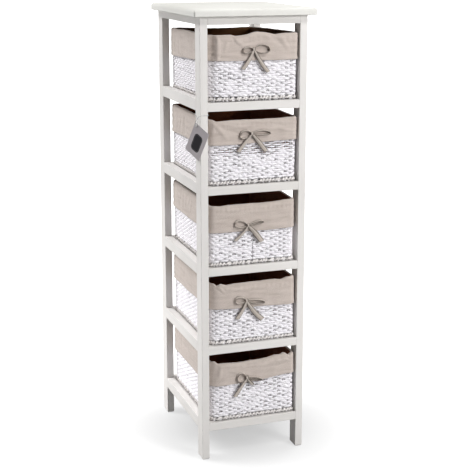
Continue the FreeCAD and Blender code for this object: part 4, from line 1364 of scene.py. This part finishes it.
# pale seamless floor that glows for the camera: the glow is weakest under the unit, a painted soft shadow there, and
# grows outwards so its far part stays as pale as the backdrop
g = m.noise(m.coords((1, 1, 1)), 3.0, 2.0, 0.5)
pos = m.node("SeparateXYZ")
m.link(m.coords((1, 1, 0)), pos.inputs[0])
far = m.math("SQRT", m.math("ADD", m.math("MULTIPLY", pos.outputs[0], pos.outputs[0]), m.math("MULTIPLY", pos.outputs[1], pos.outputs[1])))
floor_glow_painted_shadow = m.math("ADD", m.range(far, 0.08, 0.36, 0.51, 1.00), m.range(far, 0.36, 1.8, 0.0, 0.50))
seen = m.node("LightPath").outputs["Is Camera Ray"]
m.finish(m.mix(seen, (0.30, 0.30, 0.30), m.ramp(g, [(0.3, (0.195, 0.195, 0.195)), (0.7, (0.205, 0.205, 0.205))])), 0.9)
m.p.inputs["Emission Color"].default_value = (1, 1, 1, 1)
m.link(m.math("MULTIPLY", floor_glow_painted_shadow, seen), m.p.inputs["Emission Strength"])
floor = build("studio_floor", fv, fq, tris=ft, materials=[m.m])

world = bpy.data.worlds.new("studio")
scene.world = world
world.use_nodes = True
wt = world.node_tree
wt.nodes.clear()
w_out = wt.nodes.new("ShaderNodeOutputWorld")
w_mix = wt.nodes.new("ShaderNodeMixShader")
w_path = wt.nodes.new("ShaderNodeLightPath")
w_light = wt.nodes.new("ShaderNodeBackground")
w_seen = wt.nodes.new("ShaderNodeBackground")
w_light.inputs[0].default_value = (1, 1, 1, 1)
w_light.inputs[1].default_value = 0.05
w_seen.inputs[0].default_value = (1, 1, 1, 1)
w_seen.inputs[1].default_value = 1.05
wt.links.new(w_path.outputs["Is Camera Ray"], w_mix.inputs[0])
wt.links.new(w_light.outputs[0], w_mix.inputs[1])
wt.links.new(w_seen.outputs[0], w_mix.inputs[2])
wt.links.new(w_mix.outputs[0], w_out.inputs[0])


def sun(name, toward, strength, angle, color=(1, 1, 1)):
    """A wide soft light whose light arrives from the direction toward."""
    d = bpy.data.lights.new(name, "SUN")
    d.energy = strength
    d.angle = math.radians(angle)
    d.color = color
    o = bpy.data.objects.new(name, d)
    scene.collection.objects.link(o)
    o.rotation_euler = Vector(toward).to_track_quat("Z", "Y").to_euler()
    return o


def softbox(name, at, aim, size, watts, color=(1, 1, 1)):
    d = bpy.data.lights.new(name, "AREA")
    d.shape = "RECTANGLE"
    d.size, d.size_y = size
    d.energy = watts
    d.color = color
    o = bpy.data.objects.new(name, d)
    scene.collection.objects.link(o)
    o.location = at
    o.rotation_euler = (Vector(at) - Vector(aim)).to_track_quat("Z", "Y").to_euler()
    o.visible_camera = False
    return o


sun("overhead", (-0.02, 0.0, 1.0), 0.35, 14)
sun("left_sky", (-0.58, 0.37, 0.73), 2.4, 22)
softbox("front_high", (0.9, -1.7, 2.75), (0, -0.15, 0.8), (0.6, 0.6), 30)
softbox("front_right", (1.3, -2.3, 1.45), (0, 0, 0.6), (0.6, 0.6), 39)
softbox("front_low", (0.40, -0.85, 0.12), (0, -0.15, 0.14), (0.3, 0.2), 1.0)
softbox("left_rear", (-0.9, 0.9, 1.00), (-0.05, 0, 0.95), (0.4, 0.7), 5)
softbox("left_low", (-0.55, 0.30, 0.16), (-0.118, 0.03, 0.2), (0.3, 0.4), 1.2)
softbox("right_rear", (1.9, 0.9, 1.6), (0, 0, 0.5), (1.2, 1.2), 27)

cam_data = bpy.data.cameras.new("camera")
cam_data.lens = 86.898
cam_data.sensor_width = 36.0
cam_data.shift_y = -0.03
cam_data.clip_end = 300
cam = bpy.data.objects.new("camera", cam_data)
scene.collection.objects.link(cam)
cam.location = (-0.811145, -2.359104, 1.095146)
cam.rotation_euler = Vector((0.31965, 0.91869, -0.23201)).to_track_quat("-Z", "Y").to_euler()
scene.camera = cam
